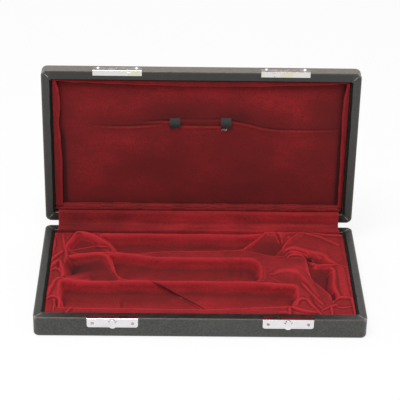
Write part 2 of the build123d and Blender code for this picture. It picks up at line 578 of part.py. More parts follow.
def elastic_loop(side):
    """Flat elastic band standing off the pad in a low arch, its ends down to the card."""
    y0, y1 = CREASE_Y - LOOP_H / 2, CREASE_Y + LOOP_H / 2
    top = LID_CEILING_Z - LID_BOARD_T
    foot = top - PAD_T - 0.4
    crown = top - PAD_T - LOOP_RISE
    x0 = side * LOOP_X - LOOP_W / 2
    outer = [Line((x0, y0, top), (x0, y0, foot)),
             ThreePointArc((x0, y0, foot), (x0, CREASE_Y, crown), (x0, y1, foot)),
             Line((x0, y1, foot), (x0, y1, top))]
    inner = [Line((x0, y1 - LOOP_T, top), (x0, y1 - LOOP_T, foot)),
             ThreePointArc((x0, y1 - LOOP_T, foot), (x0, CREASE_Y, crown + LOOP_T), (x0, y0 + LOOP_T, foot)),
             Line((x0, y0 + LOOP_T, foot), (x0, y0 + LOOP_T, top))]
    caps = [Line((x0, y1, top), (x0, y1 - LOOP_T, top)), Line((x0, y0 + LOOP_T, top), (x0, y0, top))]
    return extrude(make_face(outer + inner + caps), LOOP_W, dir=(1, 0, 0))


def wall_strip(length, widths, depth):
    """Cloth strip along X against a wall at y = 0, its bulge towards +Y changing from end to end."""
    sections = []
    for i, w in enumerate(widths):
        x = -length / 2 + length * i / (len(widths) - 1)
        sections.append(make_face([
            Line((x, 0, 0), (x, 0, depth)),
            Line((x, 0, depth), (x, w, depth)),
            ThreePointArc((x, w, depth), (x, w * 0.82, depth * 0.45), (x, 0, 0)),
        ]))
    return loft(sections)


def lid_strips():
    """The four cloth strips round the lid's pad, in the shut pose."""
    z0 = LID_RIM_Z + STRIP_DROP
    depth = LID_CEILING_Z - LID_BOARD_T - z0
    side_w, front_w = PAD_SIDE_INSET - STRIP_FIT, PAD_FRONT_INSET - STRIP_FIT
    back_gap = STRIP_CLEAR + STRIP_T + STRIP_FIT
    back_w = PAD_BACK_INSET - STRIP_FIT - back_gap
    side_len = 2 * INNER_Y - PAD_FRONT_INSET - PAD_BACK_INSET
    side_y = (PAD_FRONT_INSET - PAD_BACK_INSET) / 2
    left = wall_strip(side_len, [side_w * k for k in (0.8, 1.0, 0.86, 1.0, 0.9)], depth)
    right = wall_strip(side_len, [side_w * k for k in (0.75, 0.9, 1.0, 0.85, 0.95)], depth)
    front = wall_strip(2 * INNER_X - 1, [front_w * k for k in (0.7, 0.9, 1.0, 0.92, 0.7)], depth)
    back = wall_strip(2 * INNER_X - 1, [back_w * k for k in (0.8, 1.0, 0.9, 1.0, 0.85)],
                      depth - STRIP_IN_LID)
    return {
        "lid_strip_left": Pos(-INNER_X, side_y, z0) * Rot(0, 0, -90) * left,
        "lid_strip_right": Pos(INNER_X, side_y, z0) * Rot(0, 0, 90) * right,
        "lid_strip_front": Pos(0, -INNER_Y, z0) * front,
        "lid_strip_back": Pos(0, INNER_Y - back_gap, z0 + STRIP_IN_LID) * Rot(0, 0, 180) * back,
    }


def hinge_strip():
    """Cloth strip from the base's back wall over its rim and the gap to the lid, in the open pose."""
    t = STRIP_T
    lid_y = HINGE_Y + RIM_GAP - STRIP_CLEAR
    inside_z = HINGE_Z + HINGE_BACK + RIM + STRIP_CLEAR
    bridge = (KNUCKLE_R + 2 * STRIP_CLEAR) * 2 ** 0.5
    foot_y = HINGE_Y - bridge
    head_z = HINGE_Z + lid_y - foot_y
    bend = t * 0.4
    outline = [
        (INNER_Y, BASE_H - STRIP_IN_BASE), (INNER_Y, BASE_H), (foot_y, BASE_H), (lid_y, head_z),
        (lid_y, inside_z), (lid_y + STRIP_IN_LID, inside_z), (lid_y + STRIP_IN_LID, inside_z + t),
        (lid_y - t, inside_z + t), (lid_y - t, head_z + bend), (foot_y - bend, BASE_H + t),
        (INNER_Y - t, BASE_H + t), (INNER_Y - t, BASE_H - STRIP_IN_BASE),
    ]
    return yz_bar(outline, -STRIP_HALF_W, STRIP_HALF_W)


def build_base():
    panel, walls, bottom_cover, wall_cover = tray_pieces(BASE_H)
    cuts = both(latch_cuts())
    holes = leaf_rivet_holes(-1)
    for cut in (cuts["left"], cuts["right"]):
        walls[0] -= cut
        wall_cover -= cut
    walls[2] -= holes
    wall_cover -= holes
    parts = {"base_bottom_panel": panel, "base_bottom_cover": bottom_cover, "base_wall_cover": wall_cover}
    for name, wall in zip(("front", "right", "back", "left"), walls):
        parts["base_" + name + "_wall"] = wall
    parts["insert_board"] = block(-LINING_X, LINING_X, -LINING_Y, LINING_Y, FLOOR_Z, BOARD_TOP)
    formers = lining_formers()
    parts.update(formers)
    parts["base_lining"] = base_lining(formers)
    parts["hinge_strip"] = hinge_strip()
    for name, piece in (("latch_plate", latch_plate()), ("latch_slide", latch_slide()),
                        ("latch_knob", latch_knob()), ("latch_spring", latch_spring()),
                        ("latch_rivets", plate_rivets()), ("hinge_base_leaf", hinge_leaf(False)),
                        ("hinge_pin", hinge_pin())):
        for side, solid in both(piece).items():
            parts[name + "_" + side] = solid
    parts["hinge_base_rivets"] = leaf_rivets(-1)
    return parts


def build_lid():
    """The lid's pieces in the shut pose."""
    panel, walls, top_cover, wall_cover = tray_pieces(LID_H)
    shut = Pos(0, 0, LID_TOP_Z) * Rot(180, 0, 0)
    panel, top_cover, wall_cover = shut * panel, shut * top_cover, shut * wall_cover
    walls = [shut * w for w in walls]
    cuts = both(catch_cuts())
    holes = leaf_rivet_holes(1)
    for cut in (cuts["left"], cuts["right"]):
        walls[2] -= cut
        wall_cover -= cut
    walls[0] -= holes
    wall_cover -= holes
    parts = {"lid_top_panel": panel, "lid_top_cover": top_cover, "lid_wall_cover": wall_cover}
    for name, wall in zip(("back", "right", "front", "left"), walls):
        parts["lid_" + name + "_wall"] = wall
    gap = STRIP_FIT
    parts["lid_board"] = block(-INNER_X + gap, INNER_X - gap, -INNER_Y + gap, INNER_Y - gap,
                               LID_CEILING_Z - LID_BOARD_T, LID_CEILING_Z)
    parts["lid_pad"] = lid_pad()
    parts.update(lid_strips())
    parts["elastic_loop_left"] = elastic_loop(-1)
    parts["elastic_loop_right"] = elastic_loop(1)
    for name, piece in (("catch_plate", catch_plate()), ("latch_hook", latch_hook()),
                        ("catch_rivets", catch_rivets()), ("hinge_lid_leaf", hinge_leaf(True))):
        for side, solid in both(piece).items():
            parts[name + "_" + side] = solid
    parts["hinge_lid_rivets"] = leaf_rivets(1)
    return parts


def main():
    parts = build_base()
    parts.update({name: OPEN * piece for name, piece in build_lid().items()})
    os.makedirs("parts", exist_ok=True)
    for name, piece in parts.items():
        export_step(piece, "parts/" + name + ".step")


main()
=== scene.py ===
"""Looks of the lined instrument case, open at rest. Lengths are in millimetres until a mesh is made."""
import json
from math import cos, pi, radians, sin

import bmesh
import bpy
import numpy as np
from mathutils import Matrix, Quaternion, Vector


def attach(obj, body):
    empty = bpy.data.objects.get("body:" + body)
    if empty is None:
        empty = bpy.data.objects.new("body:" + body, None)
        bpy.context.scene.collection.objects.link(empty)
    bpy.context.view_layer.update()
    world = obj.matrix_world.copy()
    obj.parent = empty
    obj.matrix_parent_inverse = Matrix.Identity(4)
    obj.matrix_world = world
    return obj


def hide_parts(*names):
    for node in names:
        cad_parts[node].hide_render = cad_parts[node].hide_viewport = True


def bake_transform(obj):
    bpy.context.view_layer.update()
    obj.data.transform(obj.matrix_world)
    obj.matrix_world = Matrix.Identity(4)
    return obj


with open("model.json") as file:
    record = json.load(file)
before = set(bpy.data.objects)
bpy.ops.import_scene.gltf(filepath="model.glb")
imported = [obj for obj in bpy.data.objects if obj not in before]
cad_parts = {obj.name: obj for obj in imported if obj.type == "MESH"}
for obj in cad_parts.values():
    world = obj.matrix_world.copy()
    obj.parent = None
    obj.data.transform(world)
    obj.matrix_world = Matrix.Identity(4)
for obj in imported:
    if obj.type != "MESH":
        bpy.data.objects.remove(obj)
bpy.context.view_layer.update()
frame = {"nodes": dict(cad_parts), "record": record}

MM = 0.001

# Camera, fitted to the corners of the base and the lid
CAMERA_AT = (-26.58, -1345.06, 876.85)
LOOK_AT = (-0.96, 0.0, 102.6)
ROLL_DEG = 1.084
IMAGE_PX = 400
FOCAL_PX = 1592.5
SENSOR_W = 36.0

# Light: the white world's strength, a lamp from the upper left, the floor
WORLD_LEVEL = 0.56
LAMP_AT = (-220, -420, 1500)
LAMP_AIM = (0, 0, 40)
LAMP_SIZE = 700
LAMP_WATTS = 13.0
FLOOR_HALF = 4000
FLOOR_GLOW = 0.85  # share of plain white in the floor as seen; the rest takes shadow

# Places of the case, as in its CAD model
LINING_TOP = 19.0
LINING_ROOT = 8.0  # how far down the lining's edges go
LINING_LEFT, LINING_RIGHT = -149.9, 150.0
LINING_FRONT, LINING_BACK = -75.4, 75.6
OUTER_X, OUTER_Y = 160.0, 86.5
INNER_X, INNER_Y = 150.0, 76.5
BASE_RIM_Z = 21.5
BETWEEN_Z = 24.0  # between the base and the open lid
LID_RIM_Y = 89.9
LID_BOTTOM_Z, LID_UPPER_Z = 34.5, 187.5  # inside of the lid
LID_MIDDLE_Z = 111.0
LID_TOP_Z = LID_MIDDLE_Z + OUTER_Y
LID_BOARD_Y = 98.9  # card behind the lid's pad and strips
PAD_Y = 96.5  # face of the lid's pad
PAD_HALF_X = 146.8
PAD_LOW, PAD_HIGH = 38.6, 184.0
LOOP_X = 26.0
LOOP_W = 10.6
LOOP_LOW, LOOP_HIGH = 129.9, 143.5
LOOP_Y = 93.7  # most forward part of an elastic loop
LOOP_STAND = 4.7  # how far that part stands off the loop's ends
LOOP_BEND = 1.28  # half the angle that a loop turns through
LOOP_T = 0.8
LOOP_RIBS, LOOP_RIB_H = 9, 0.16

# Brownish dusting and painted sheen on the covering's outer edges: how far in from its sides, and from where
# to its mouth
EDGE_DUST_AND_SHEEN = 1.6
BASE_DUST_AND_SHEEN_Z, LID_DUST_AND_SHEEN_Y = 19.6, 92.2


def placed(name, data, at=(0, 0, 0), aim=None, roll_deg=0.0):
    """Object in the scene at a place, looking at the aim if it has one."""
    made = bpy.data.objects.new(name, data)
    bpy.context.scene.collection.objects.link(made)
    made.location = Vector(at) * MM
    if aim:
        turn = (Vector(aim) - Vector(at)).to_track_quat("-Z", "Y")
        made.rotation_mode = "QUATERNION"
        made.rotation_quaternion = turn @ Quaternion((0, 0, 1), radians(roll_deg))
    return made


def make_camera():
    data = bpy.data.cameras.new("camera")
    data.sensor_width = SENSOR_W
    data.lens = FOCAL_PX / IMAGE_PX * SENSOR_W
    data.clip_start, data.clip_end = 0.05, 50
    bpy.context.scene.camera = placed("camera", data, CAMERA_AT, LOOK_AT, ROLL_DEG)


class Nodes:
    """A node tree, with short calls to add and join its nodes."""

    def __init__(self, tree):
        self.tree = tree

    def join(self, value, socket):
        if isinstance(value, bpy.types.NodeSocket):
            self.tree.links.new(value, socket)
        else:
            socket.default_value = value

    def node(self, kind, inputs=(), **settings):
        node = self.tree.nodes.new("ShaderNode" + kind)
        for key, value in settings.items():
            setattr(node, key, value)
        for key, value in dict(inputs).items():
            self.join(value, node.inputs[key])
        return node

    def place(self, stretch=(1, 1, 1)):
        where = self.node("TexCoord").outputs["Object"]
        return self.node("Mapping", {"Vector": where, "Scale": stretch}).outputs["Vector"]

    def noise(self, size, detail, stretch=(1, 1, 1)):
        """Noise whose blotches are about size across, in millimetres."""
        inputs = {"Vector": self.place(stretch), "Scale": 1 / (size * MM), "Detail": detail}
        return self.node("TexNoise", inputs).outputs["Fac"]

    def spread(self, level, amount, *noise):
        """The level with noise of that amount added, up and down alike."""
        return self.math("MULTIPLY_ADD", self.math("SUBTRACT", self.noise(*noise), 0.5), amount, level)

    def broken(self, value, size, gain, offset, detail=3):
        """A value broken up by noise."""
        return self.math("MULTIPLY", value, self.math("MULTIPLY_ADD", self.noise(size, detail), gain, offset))

    def axes(self):
        return self.node("SeparateXYZ", {"Vector": self.place()}).outputs

    def math(self, operation, a, b=0.0, c=0.0):
        return self.node("Math", {0: a, 1: b, 2: c}, operation=operation).outputs[0]

    def vector(self, operation, a, b=(0, 0, 0)):
        return self.node("VectorMath", {0: a, 1: b}, operation=operation).outputs

    def between(self, value, low, high, start=0.0, end=1.0):
        """From start to end as the value goes from low to high."""
        limits = {"From Min": low, "From Max": high, "To Min": start, "To Max": end}
        return self.node("MapRange", {"Value": value, **limits}).outputs["Result"]

    def mix(self, share, a, b):
        return self.node("Mix", {"Factor": share, "A": a, "B": b}, data_type="RGBA").outputs["Result"]

    def ramp(self, value, stops):
        """Colours between stops, each a place and a colour."""
        node = self.node("ValToRGB", {"Fac": value})
        places = node.color_ramp.elements
        while len(places) < len(stops):
            places.new(0.5)
        for element, (place, colour) in zip(places, stops):
            element.position = place
            element.color = (*colour, 1)
        return node.outputs["Color"]


class Surface(Nodes):
    """A node material."""

    def __init__(self, name, **settings):
        self.material = bpy.data.materials.new(name)
        self.material.use_nodes = True
        super().__init__(self.material.node_tree)
        self.shader = self.tree.nodes["Principled BSDF"]
        for key, value in settings.items():
            self.join(value, self.shader.inputs[key.replace("_", " ")])

    def colour(self, value):
        self.join(value, self.shader.inputs["Base Color"])

    def roughness(self, size, detail, low, high):
        """Roughness between low and high, in blotches of about that size."""
        rough = self.between(self.noise(size, detail), 0.3, 0.7, low, high)
        self.join(rough, self.shader.inputs["Roughness"])

    def bump(self, height, depth, strength, under=None):
        node = self.node("Bump", {"Height": height, "Distance": depth * MM, "Strength": strength})
        if under is not None:
            self.join(under, node.inputs["Normal"])
        self.join(node.outputs["Normal"], self.shader.inputs["Normal"])
        return node.outputs["Normal"]


def velvet():
    """Short pile with painted light and shade from its shade attribute: paler where the cloth is raised,
    darker in hollows, in patches.
    """
    s = Surface("velvet", Roughness=0.9, Specular_IOR_Level=0.1, Sheen_Weight=0.8, Sheen_Roughness=0.4,
                Sheen_Tint=(1.0, 0.08, 0.105, 1))
    shade = s.node("Attribute", attribute_name="shade").outputs["Fac"]
    nap = s.spread(s.math("ADD", shade, 0.5), 0.26, 22, 3)
    streaks = s.spread(nap, 0.14, 4, 2, (0.25, 1, 1))
    level = s.spread(s.spread(streaks, 0.3, 0.7, 2), 0.36, 1.4, 1)
    s.colour(s.ramp(level, [(0.0, (0.052, 0.0135, 0.0145)), (0.5, (0.18, 0.0165, 0.0175)),
                            (1.0, (0.5, 0.028, 0.038))]))
    s.bump(s.noise(0.55, 1), 0.12, 0.5)
    return s


def corner_wear(s, middle_z, corner):
    """1 at the four corners of a tray, falling to 0 a few mm away."""
    off = s.vector("SUBTRACT", s.place(), (0, 0, middle_z * MM))[0]
    quarter = s.vector("ABSOLUTE", off)[0]
    far = s.vector("DISTANCE", quarter, [v * MM for v in corner])["Value"]
    return s.between(far, 0.8 * MM, 3.2 * MM, 1.0, 0.0)


def outer_edge(s, across, along, level):
    """1 on a tray's outer edges round its mouth, falling to 0 down its faces: across and along are
    distances from its middle, and level the one past the start of the dusting and painted sheen."""
    across = s.math("SUBTRACT", across, (OUTER_X - EDGE_DUST_AND_SHEEN) * MM)
    along = s.math("SUBTRACT", along, (OUTER_Y - EDGE_DUST_AND_SHEEN) * MM)
    side = s.between(s.math("MAXIMUM", across, along), -0.6 * MM, 1.0 * MM)
    return s.math("MULTIPLY", side, s.between(level, 0.0, 1.6 * MM))


def leatherette():
    """Black covering with a fine pebbled grain; a brownish dusting with painted sheen on the lid's top side
    and outer edges; painted shade on the rims; rubbed at their corners.
    """
    s = Surface("leatherette", Specular_IOR_Level=0.72, Sheen_Weight=0.04, Sheen_Roughness=0.5,
                Sheen_Tint=(1.0, 0.86, 0.72, 1))
    cells = s.node("TexVoronoi", {"Vector": s.place(), "Scale": 1 / (0.9 * MM), "Randomness": 0.9})
    grain = s.math("SUBTRACT", 1.0, cells.outputs["Distance"])
    mottle = s.math("MULTIPLY_ADD", s.noise(30, 4), 0.2, s.math("MULTIPLY", s.noise(1.5, 2), 0.8))
    plain = s.ramp(mottle, [(0.38, (0.013, 0.014, 0.011)), (0.62, (0.052, 0.05, 0.042))])
    place = s.axes()
    wide, deep, high = s.math("ABSOLUTE", place["X"]), place["Y"], place["Z"]
    on_base = s.math("LESS_THAN", high, BETWEEN_Z * MM)
    on_lid = s.math("SUBTRACT", 1.0, on_base)

    # Painted shade on the rims, standing in for the dark inside that they reflect; half as much at the sides
    base_rim = s.between(high, (BASE_RIM_Z - 0.4) * MM, (BASE_RIM_Z - 0.2) * MM)
    lid_rim = s.math("MULTIPLY", on_lid, s.math("LESS_THAN", deep, (LID_RIM_Y + 0.4) * MM))
    rim = s.math("MULTIPLY_ADD", lid_rim, 0.9, s.math("MULTIPLY", base_rim, on_base))
    at_side = s.math("GREATER_THAN", wide, (INNER_X + 1) * MM)
    rim = s.math("MULTIPLY", rim, s.math("MULTIPLY_ADD", at_side, -0.5, 1.0))

    # Brownish dusting with painted sheen: a painted reflection of the bright background on the lid's top
    # side, and on the outer edges
    dust_and_sheen = s.broken(s.between(high, (LID_TOP_Z - 1) * MM, (LID_TOP_Z + 0.1) * MM), 1.2, 0.9, 0.1)
    base_level = s.math("SUBTRACT", high, BASE_DUST_AND_SHEEN_Z * MM)
    base_edge = outer_edge(s, wide, s.math("ABSOLUTE", deep), base_level)
    lid_along = s.math("ABSOLUTE", s.math("SUBTRACT", high, LID_MIDDLE_Z * MM))
    lid_edge = outer_edge(s, wide, lid_along, s.math("SUBTRACT", LID_DUST_AND_SHEEN_Y * MM, deep))
    edges = s.math("MULTIPLY_ADD", on_lid, lid_edge, s.math("MULTIPLY", on_base, base_edge))
    dust_and_sheen = s.math("MAXIMUM", dust_and_sheen, s.broken(edges, 1.6, 0.9, -0.22, 4))

    base_corners = corner_wear(s, 0, (OUTER_X - 1.4, OUTER_Y - 1.4, BASE_RIM_Z - 0.5))
    lid_corners = corner_wear(s, LID_MIDDLE_Z, (OUTER_X - 1.4, LID_RIM_Y + 0.5, OUTER_Y - 1.4))
    worn = s.broken(s.math("MAXIMUM", base_corners, lid_corners), 1.1, 2.4, -0.45)

    # painted shade on the rims
    shaded = s.mix(rim, plain, (0.002, 0.003, 0.002, 1))
    dust_sheen_colour = s.mix(dust_and_sheen, shaded, (0.2, 0.155, 0.115, 1))
    s.colour(s.mix(worn, dust_sheen_colour, (0.3, 0.29, 0.27, 1)))
    s.roughness(6, 3, 0.28, 0.42)
    fine = s.bump(s.noise(0.25, 2), 0.05, 0.4)
    s.bump(grain, 0.11, 0.8, fine)
    return s


def worn_leatherette():
    """The covering where a pleat is rubbed shiny."""
    s = Surface("worn_leatherette", Specular_IOR_Level=0.8, Roughness=0.3)
    s.colour(s.ramp(s.noise(1.2, 3), [(0.3, (0.1, 0.1, 0.092)), (0.65, (0.6, 0.59, 0.57))]))
    s.bump(s.noise(0.5, 2), 0.06, 0.5)
    return s


def shaded_leatherette():
    """Painted shade for the covering where it turns into the mouth of a tray, standing in for the dark inside
    that it reflects.
    """
    s = Surface("shaded_leatherette", Specular_IOR_Level=0.12, Roughness=0.7)
    s.colour(s.ramp(s.noise(1.5, 3), [(0.3, (0.003, 0.004, 0.003)), (0.7, (0.01, 0.011, 0.008))]))
    s.bump(s.noise(0.5, 2), 0.05, 0.5)
    return s


def thread():
    """Pulled yarn of the lining's white ground cloth, its ends dyed."""
    s = Surface("thread", Roughness=0.8)
    tone = s.node("Attribute", attribute_name="tone").outputs["Fac"]
    level = s.math("MULTIPLY_ADD", s.noise(0.6, 2), 0.3, s.math("SUBTRACT", tone, 0.15))
    s.colour(s.ramp(level, [(0.2, (0.5, 0.035, 0.04)), (0.8, (0.72, 0.66, 0.62))]))
    s.bump(s.noise(0.2, 1), 0.03, 0.5)
    return s


def nickel():
    """Bright plate with fine polishing marks and faint smears."""
    s = Surface("nickel", Metallic=1.0)
    s.colour(s.ramp(s.noise(9, 3), [(0.3, (0.76, 0.74, 0.76)), (0.7, (0.82, 0.8, 0.83))]))
    s.roughness(3.5, 4, 0.07, 0.15)
    s.bump(s.noise(1.5, 2, (0.08, 1, 6)), 0.003, 0.4)
    return s


def dull_nickel():
    """Older plate of the lid's catches: yellowed in places on the flange, dull above it."""
    s = Surface("dull_nickel", Metallic=1.0)
    above = s.between(s.axes()["Y"], (LID_RIM_Y + 0.1) * MM, (LID_RIM_Y + 0.5) * MM)
    flange = s.ramp(s.noise(14, 1), [(0.42, (0.72, 0.67, 0.52)), (0.56, (0.74, 0.71, 0.71))])
    top = s.ramp(s.noise(4, 2), [(0.4, (0.27, 0.23, 0.21)), (0.6, (0.42, 0.38, 0.37))])
    s.colour(s.mix(above, flange, top))
    s.roughness(4, 3, 0.08, 0.2)
    return s


def rivet_metal():
    """Rivets whose bright plating carries a painted brown reflection in blotches."""
    s = Surface("rivet_metal", Metallic=1.0, Roughness=0.22)
    s.colour(s.ramp(s.noise(1.4, 2), [(0.35, (0.3, 0.17, 0.12)), (0.65, (0.66, 0.6, 0.55))]))
    return s


def spring_steel():
    s = Surface("spring_steel", Metallic=1.0, Roughness=0.32)
    s.colour(s.ramp(s.noise(4, 3), [(0.3, (0.2, 0.23, 0.3)), (0.7, (0.42, 0.42, 0.44))]))
    s.bump(s.noise(1, 2, (0.1, 1, 1)), 0.01, 0.4)
    return s


def elastic():
    """Ribbed black band with the weft's fine cross weave."""
    s = Surface("elastic", Roughness=0.7, Sheen_Weight=0.1, Sheen_Roughness=0.5,
                Sheen_Tint=(0.8, 0.85, 0.85, 1))
    weft = s.node("TexWave", {"Vector": s.place(), "Scale": 1 / (2.2 * MM), "Distortion": 0.6},
                  wave_type="BANDS", bands_direction="Z")
    s.colour(s.ramp(weft.outputs["Fac"], [(0.0, (0.008, 0.01, 0.009)), (1.0, (0.019, 0.022, 0.02))]))
    s.bump(weft.outputs["Fac"], 0.08, 0.7)
    return s


def wood():
    s = Surface("wood", Roughness=0.6)
    grain = s.noise(2.2, 4, (0.08, 1, 1))
    s.colour(s.ramp(grain, [(0.3, (0.05, 0.034, 0.022)), (0.7, (0.12, 0.085, 0.055))]))
    s.bump(grain, 0.05, 0.4)
    return s


def card():
    s = Surface("card", Roughness=0.85)
    s.colour(s.ramp(s.noise(0.9, 4), [(0.3, (0.26, 0.21, 0.15)), (0.7, (0.46, 0.39, 0.3))]))
    s.bump(s.noise(0.4, 2), 0.04, 0.5)
    return s


def seen_white(nodes, plain, white, output):
    """The plain shader lights the scene; the camera and mirrors see the white one."""
    path = nodes.node("LightPath").outputs
    seen = path["Is Camera Ray"]
    for ray in ("Is Glossy Ray", "Is Transmission Ray"):
        seen = nodes.math("MAXIMUM", seen, path[ray])
    mixed = nodes.node("MixShader", {0: seen, 1: plain.outputs[0], 2: white.outputs[0]})
    nodes.join(mixed.outputs[0], nodes.tree.nodes[output].inputs["Surface"])


def floor():
    """Pale ground that looks almost white and takes a little shadow."""
    s = Surface("floor", Roughness=0.9, Specular_IOR_Level=0.0, Base_Color=(0.8, 0.8, 0.8, 1))
    glow = s.node("Emission")
    matt = s.node("BsdfDiffuse", {"Color": (1, 1, 1, 1)})
    white = s.node("MixShader", {0: FLOOR_GLOW, 1: matt.outputs[0], 2: glow.outputs[0]})
    seen_white(s, s.shader, white, "Material Output")
    return s


LOOKS = (velvet, leatherette, worn_leatherette, shaded_leatherette, thread, nickel, dull_nickel, rivet_metal,
         spring_steel, elastic, wood, card, floor)
MATERIALS = {look.__name__: look().material for look in LOOKS}


def make_world():
    world = bpy.data.worlds.new("studio")
    world.use_nodes = True
    bpy.context.scene.world = world
    nodes = Nodes(world.node_tree)
    plain = nodes.tree.nodes["Background"]
    plain.inputs["Color"].default_value = (1, 1, 1, 1)
    plain.inputs["Strength"].default_value = WORLD_LEVEL
    seen_white(nodes, plain, nodes.node("Background", {"Color": (1, 1, 1, 1)}), "World Output")


def make_floor():
    corners = np.array([(-1, -1, 0), (1, -1, 0), (1, 1, 0), (-1, 1, 0)]) * FLOOR_HALF
    mesh_piece("floor", corners, [(0, 1, 2, 3)], "floor")


def make_lamp():
    data = bpy.data.lights.new("softbox", "AREA")
    data.shape = "DISK"
    data.size = LAMP_SIZE * MM
    data.energy = LAMP_WATTS
    placed("softbox", data, LAMP_AT, LAMP_AIM)


def grid_faces(ids, ring):
    """Faces through rows of point numbers; ring joins each row's end to its start."""
    if ring:
        ids = np.concatenate([ids, ids[:, :1]], 1)
    return np.stack([ids[:-1, :-1], ids[:-1, 1:], ids[1:, 1:], ids[1:, :-1]], -1).reshape(-1, 4).tolist()


def mesh_piece(name, points, faces, material, body=None, **values):
    """Smooth object from points and faces, with named values at its points; it may ride on a body."""
    mesh = bpy.data.meshes.new(name)
    mesh.from_pydata((points * MM).tolist(), [], faces)
    mesh.shade_smooth()
    for key, numbers in values.items():
        attribute = mesh.attributes.new(key, "FLOAT", "POINT")
        attribute.data.foreach_set("value", numbers.reshape(-1).astype(np.float32))
    mesh.materials.append(MATERIALS[material])
    piece = placed(name, mesh)
    if body:
        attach(piece, body)
    return piece


def grid_piece(name, points, material, body=None, ring=False, **values):
    """Object with a quad mesh through rows of points."""
    rows, cols = points.shape[:2]
    faces = grid_faces(np.arange(rows * cols).reshape(rows, cols), ring)
    return mesh_piece(name, points.reshape(-1, 3), faces, material, body, **values)


def smooth(t):
    t = np.clip(t, 0, 1)
    return t * t * (3 - 2 * t)


def smooth_max(a, b, k):
    h = np.clip(0.5 + 0.5 * (b - a) / k, 0, 1)
    return a + (b - a) * h + k * h * (1 - h)


def bell(t):
    return np.exp(-t ** 2)


def patches(x, y, table):
    """Sum of soft oval patches, each a place, half sizes and an amount."""
    return sum(amount * np.exp(-((x - px) / half_x) ** 2 - ((y - py) / half_y) ** 2)
               for px, py, half_x, half_y, amount in table)


def curve_through(points, step=2.0):
    """Points about a step apart on a smooth curve through a few given ones."""
    p = np.array(points, float)
    p = np.vstack([2 * p[0] - p[1], p, 2 * p[-1] - p[-2]])
    out = []
    for a, b, c, d in zip(p, p[1:], p[2:], p[3:]):
        n = max(1, int(np.linalg.norm(c[:2] - b[:2]) / step))
        for i in range(n):
            t = i / n
            out.append(0.5 * (2 * b + (c - a) * t + (2 * a - 5 * b + 4 * c - d) * t ** 2
                              + (3 * b - a - 3 * c + d) * t ** 3))
    return np.array(out + [p[-2]])


def nearest(x, y, line):
    """Distance to a line of points, its third value there, and the side, positive on its left."""
    best = np.full(x.shape, 1e9)
    value, side = np.zeros(x.shape), np.ones(x.shape)
    for (ax, ay, av), (bx, by, bv) in zip(line, line[1:]):
        dx, dy = bx - ax, by - ay
        t = np.clip(((x - ax) * dx + (y - ay) * dy) / (dx * dx + dy * dy), 0, 1)
        ex, ey = x - ax - t * dx, y - ay - t * dy
        d = np.hypot(ex, ey)
        closer = d < best
        best = np.where(closer, d, best)
        value = np.where(closer, av + t * (bv - av), value)
        side = np.where(closer, np.sign(dx * ey - dy * ex), side)
    return best, value, side


def inside(x, y, corners):
    """True where a point lies inside the outline."""
    hit = np.zeros(x.shape, bool)
    for (ax, ay), (bx, by) in zip(corners, corners[1:] + corners[:1]):
        crosses = (ay > y) != (by > y)
        at = ax + (y - ay) / (by - ay if by != ay else 1e-9) * (bx - ax)
        hit ^= crosses & (x < at)
    return hit


# Broad swells of the loose cloth at the right end: x, y and height over LINING_TOP
SWELL_REACH = 8.0
SWELLS = [
    (84, 75, 1.4), (96, 75, 1.6), (110, 74, 1.2), (122, 69, 0.4), (135, 62, -0.2), (146, 56, -0.4),
    (96, 66, 1.4), (108, 62, 1.2), (122, 56, 0.8), (136, 46, 0.4), (146, 38, 0.2), (94, 54, 1.4),
    (106, 52, 1.6), (118, 44, 1), (130, 30, 0.4), (145, 22, 0), (142, 8, 1.6), (143, -10, 1.8),
    (143, -30, 1.6), (145, -44, 0.8), (148, 66, -0.8), (91, 26, 0.4), (100, 26, 1), (102, 12, 2.4),
    (88, 12, 2.8), (76, 10, 1.6), (68, 8, 0.4), (94, 2, 3.6), (84, 0, 3), (104, -8, 3.6), (110, -22, 3.4),
    (118, -34, 2.6), (126, -44, 1.6), (114, -8, 2.4), (74, -5, -0.8), (85, -10, -2), (95, -14, -2.4),
    (101, -22, -1.4), (95, -22, 1.8), (103, -30, 2.6), (109, -42, 2.2), (117, -55, 1.2), (107, -52, -0.2),
    (103, -60, -0.4), (124, -54, 0), (134, -60, 0.4), (143, -66, 0.6), (112, -62, 0.2),
]

# Hollows of the base lining: depth, width of their walls, rise of their floors for each mm from the
# deepest point, that point, how much painted shade darkens the cloth there, and corners of the outline at the
# top.
# Channels have level floors: depth, width of their walls and corners
POCKETS = [
    (12, 6, 0.17, (-131, 12), 0.34, [(-136.5, -8), (-114, -15.5), (-84, -16), (-79, -14), (-83, -4),
     (-87.5, 8), (-90.5, 20), (-94.5, 31), (-102, 35), (-118.5, 31.5), (-130, 29), (-136, 22)]),
    (10.5, 4.5, 0.16, (-104, 45), 0.1, [(-134.5, 44), (-134, 52), (-128, 66), (-124, 73.5), (-115, 72.5),
     (-107, 67), (-99, 59), (-92, 51), (-88, 42), (-92, 37.5), (-107, 37.5), (-124, 35)]),
    (12, 4, 0.26, (84, 35), 0.16, [(45.5, 41.8), (53.5, 54), (62, 65), (71, 76), (82, 76.5), (92, 72),
     (94, 63), (88.5, 52), (84.8, 42), (85, 33), (77.5, 32.3), (67, 34.3), (57, 38.3), (49, 40.6)]),
    (11.5, 3, 0.17, (132, -26), 0.14, [(108.6, 28), (112, 22), (121, 13), (129.5, 12.8), (134.5, 5),
     (133.8, -8), (131.8, -22), (133.5, -42), (131, -49), (128.5, -41), (121, -28), (111, -13.5),
     (108.4, 8)]),
    (7, 2.4, 0.16, (113, 31), 0.2, [(107, 35), (110, 37), (118, 33.5), (126, 28.5), (131, 22), (132, 15),
     (126, 14.5), (118, 18), (111, 24), (108, 30)]),
]
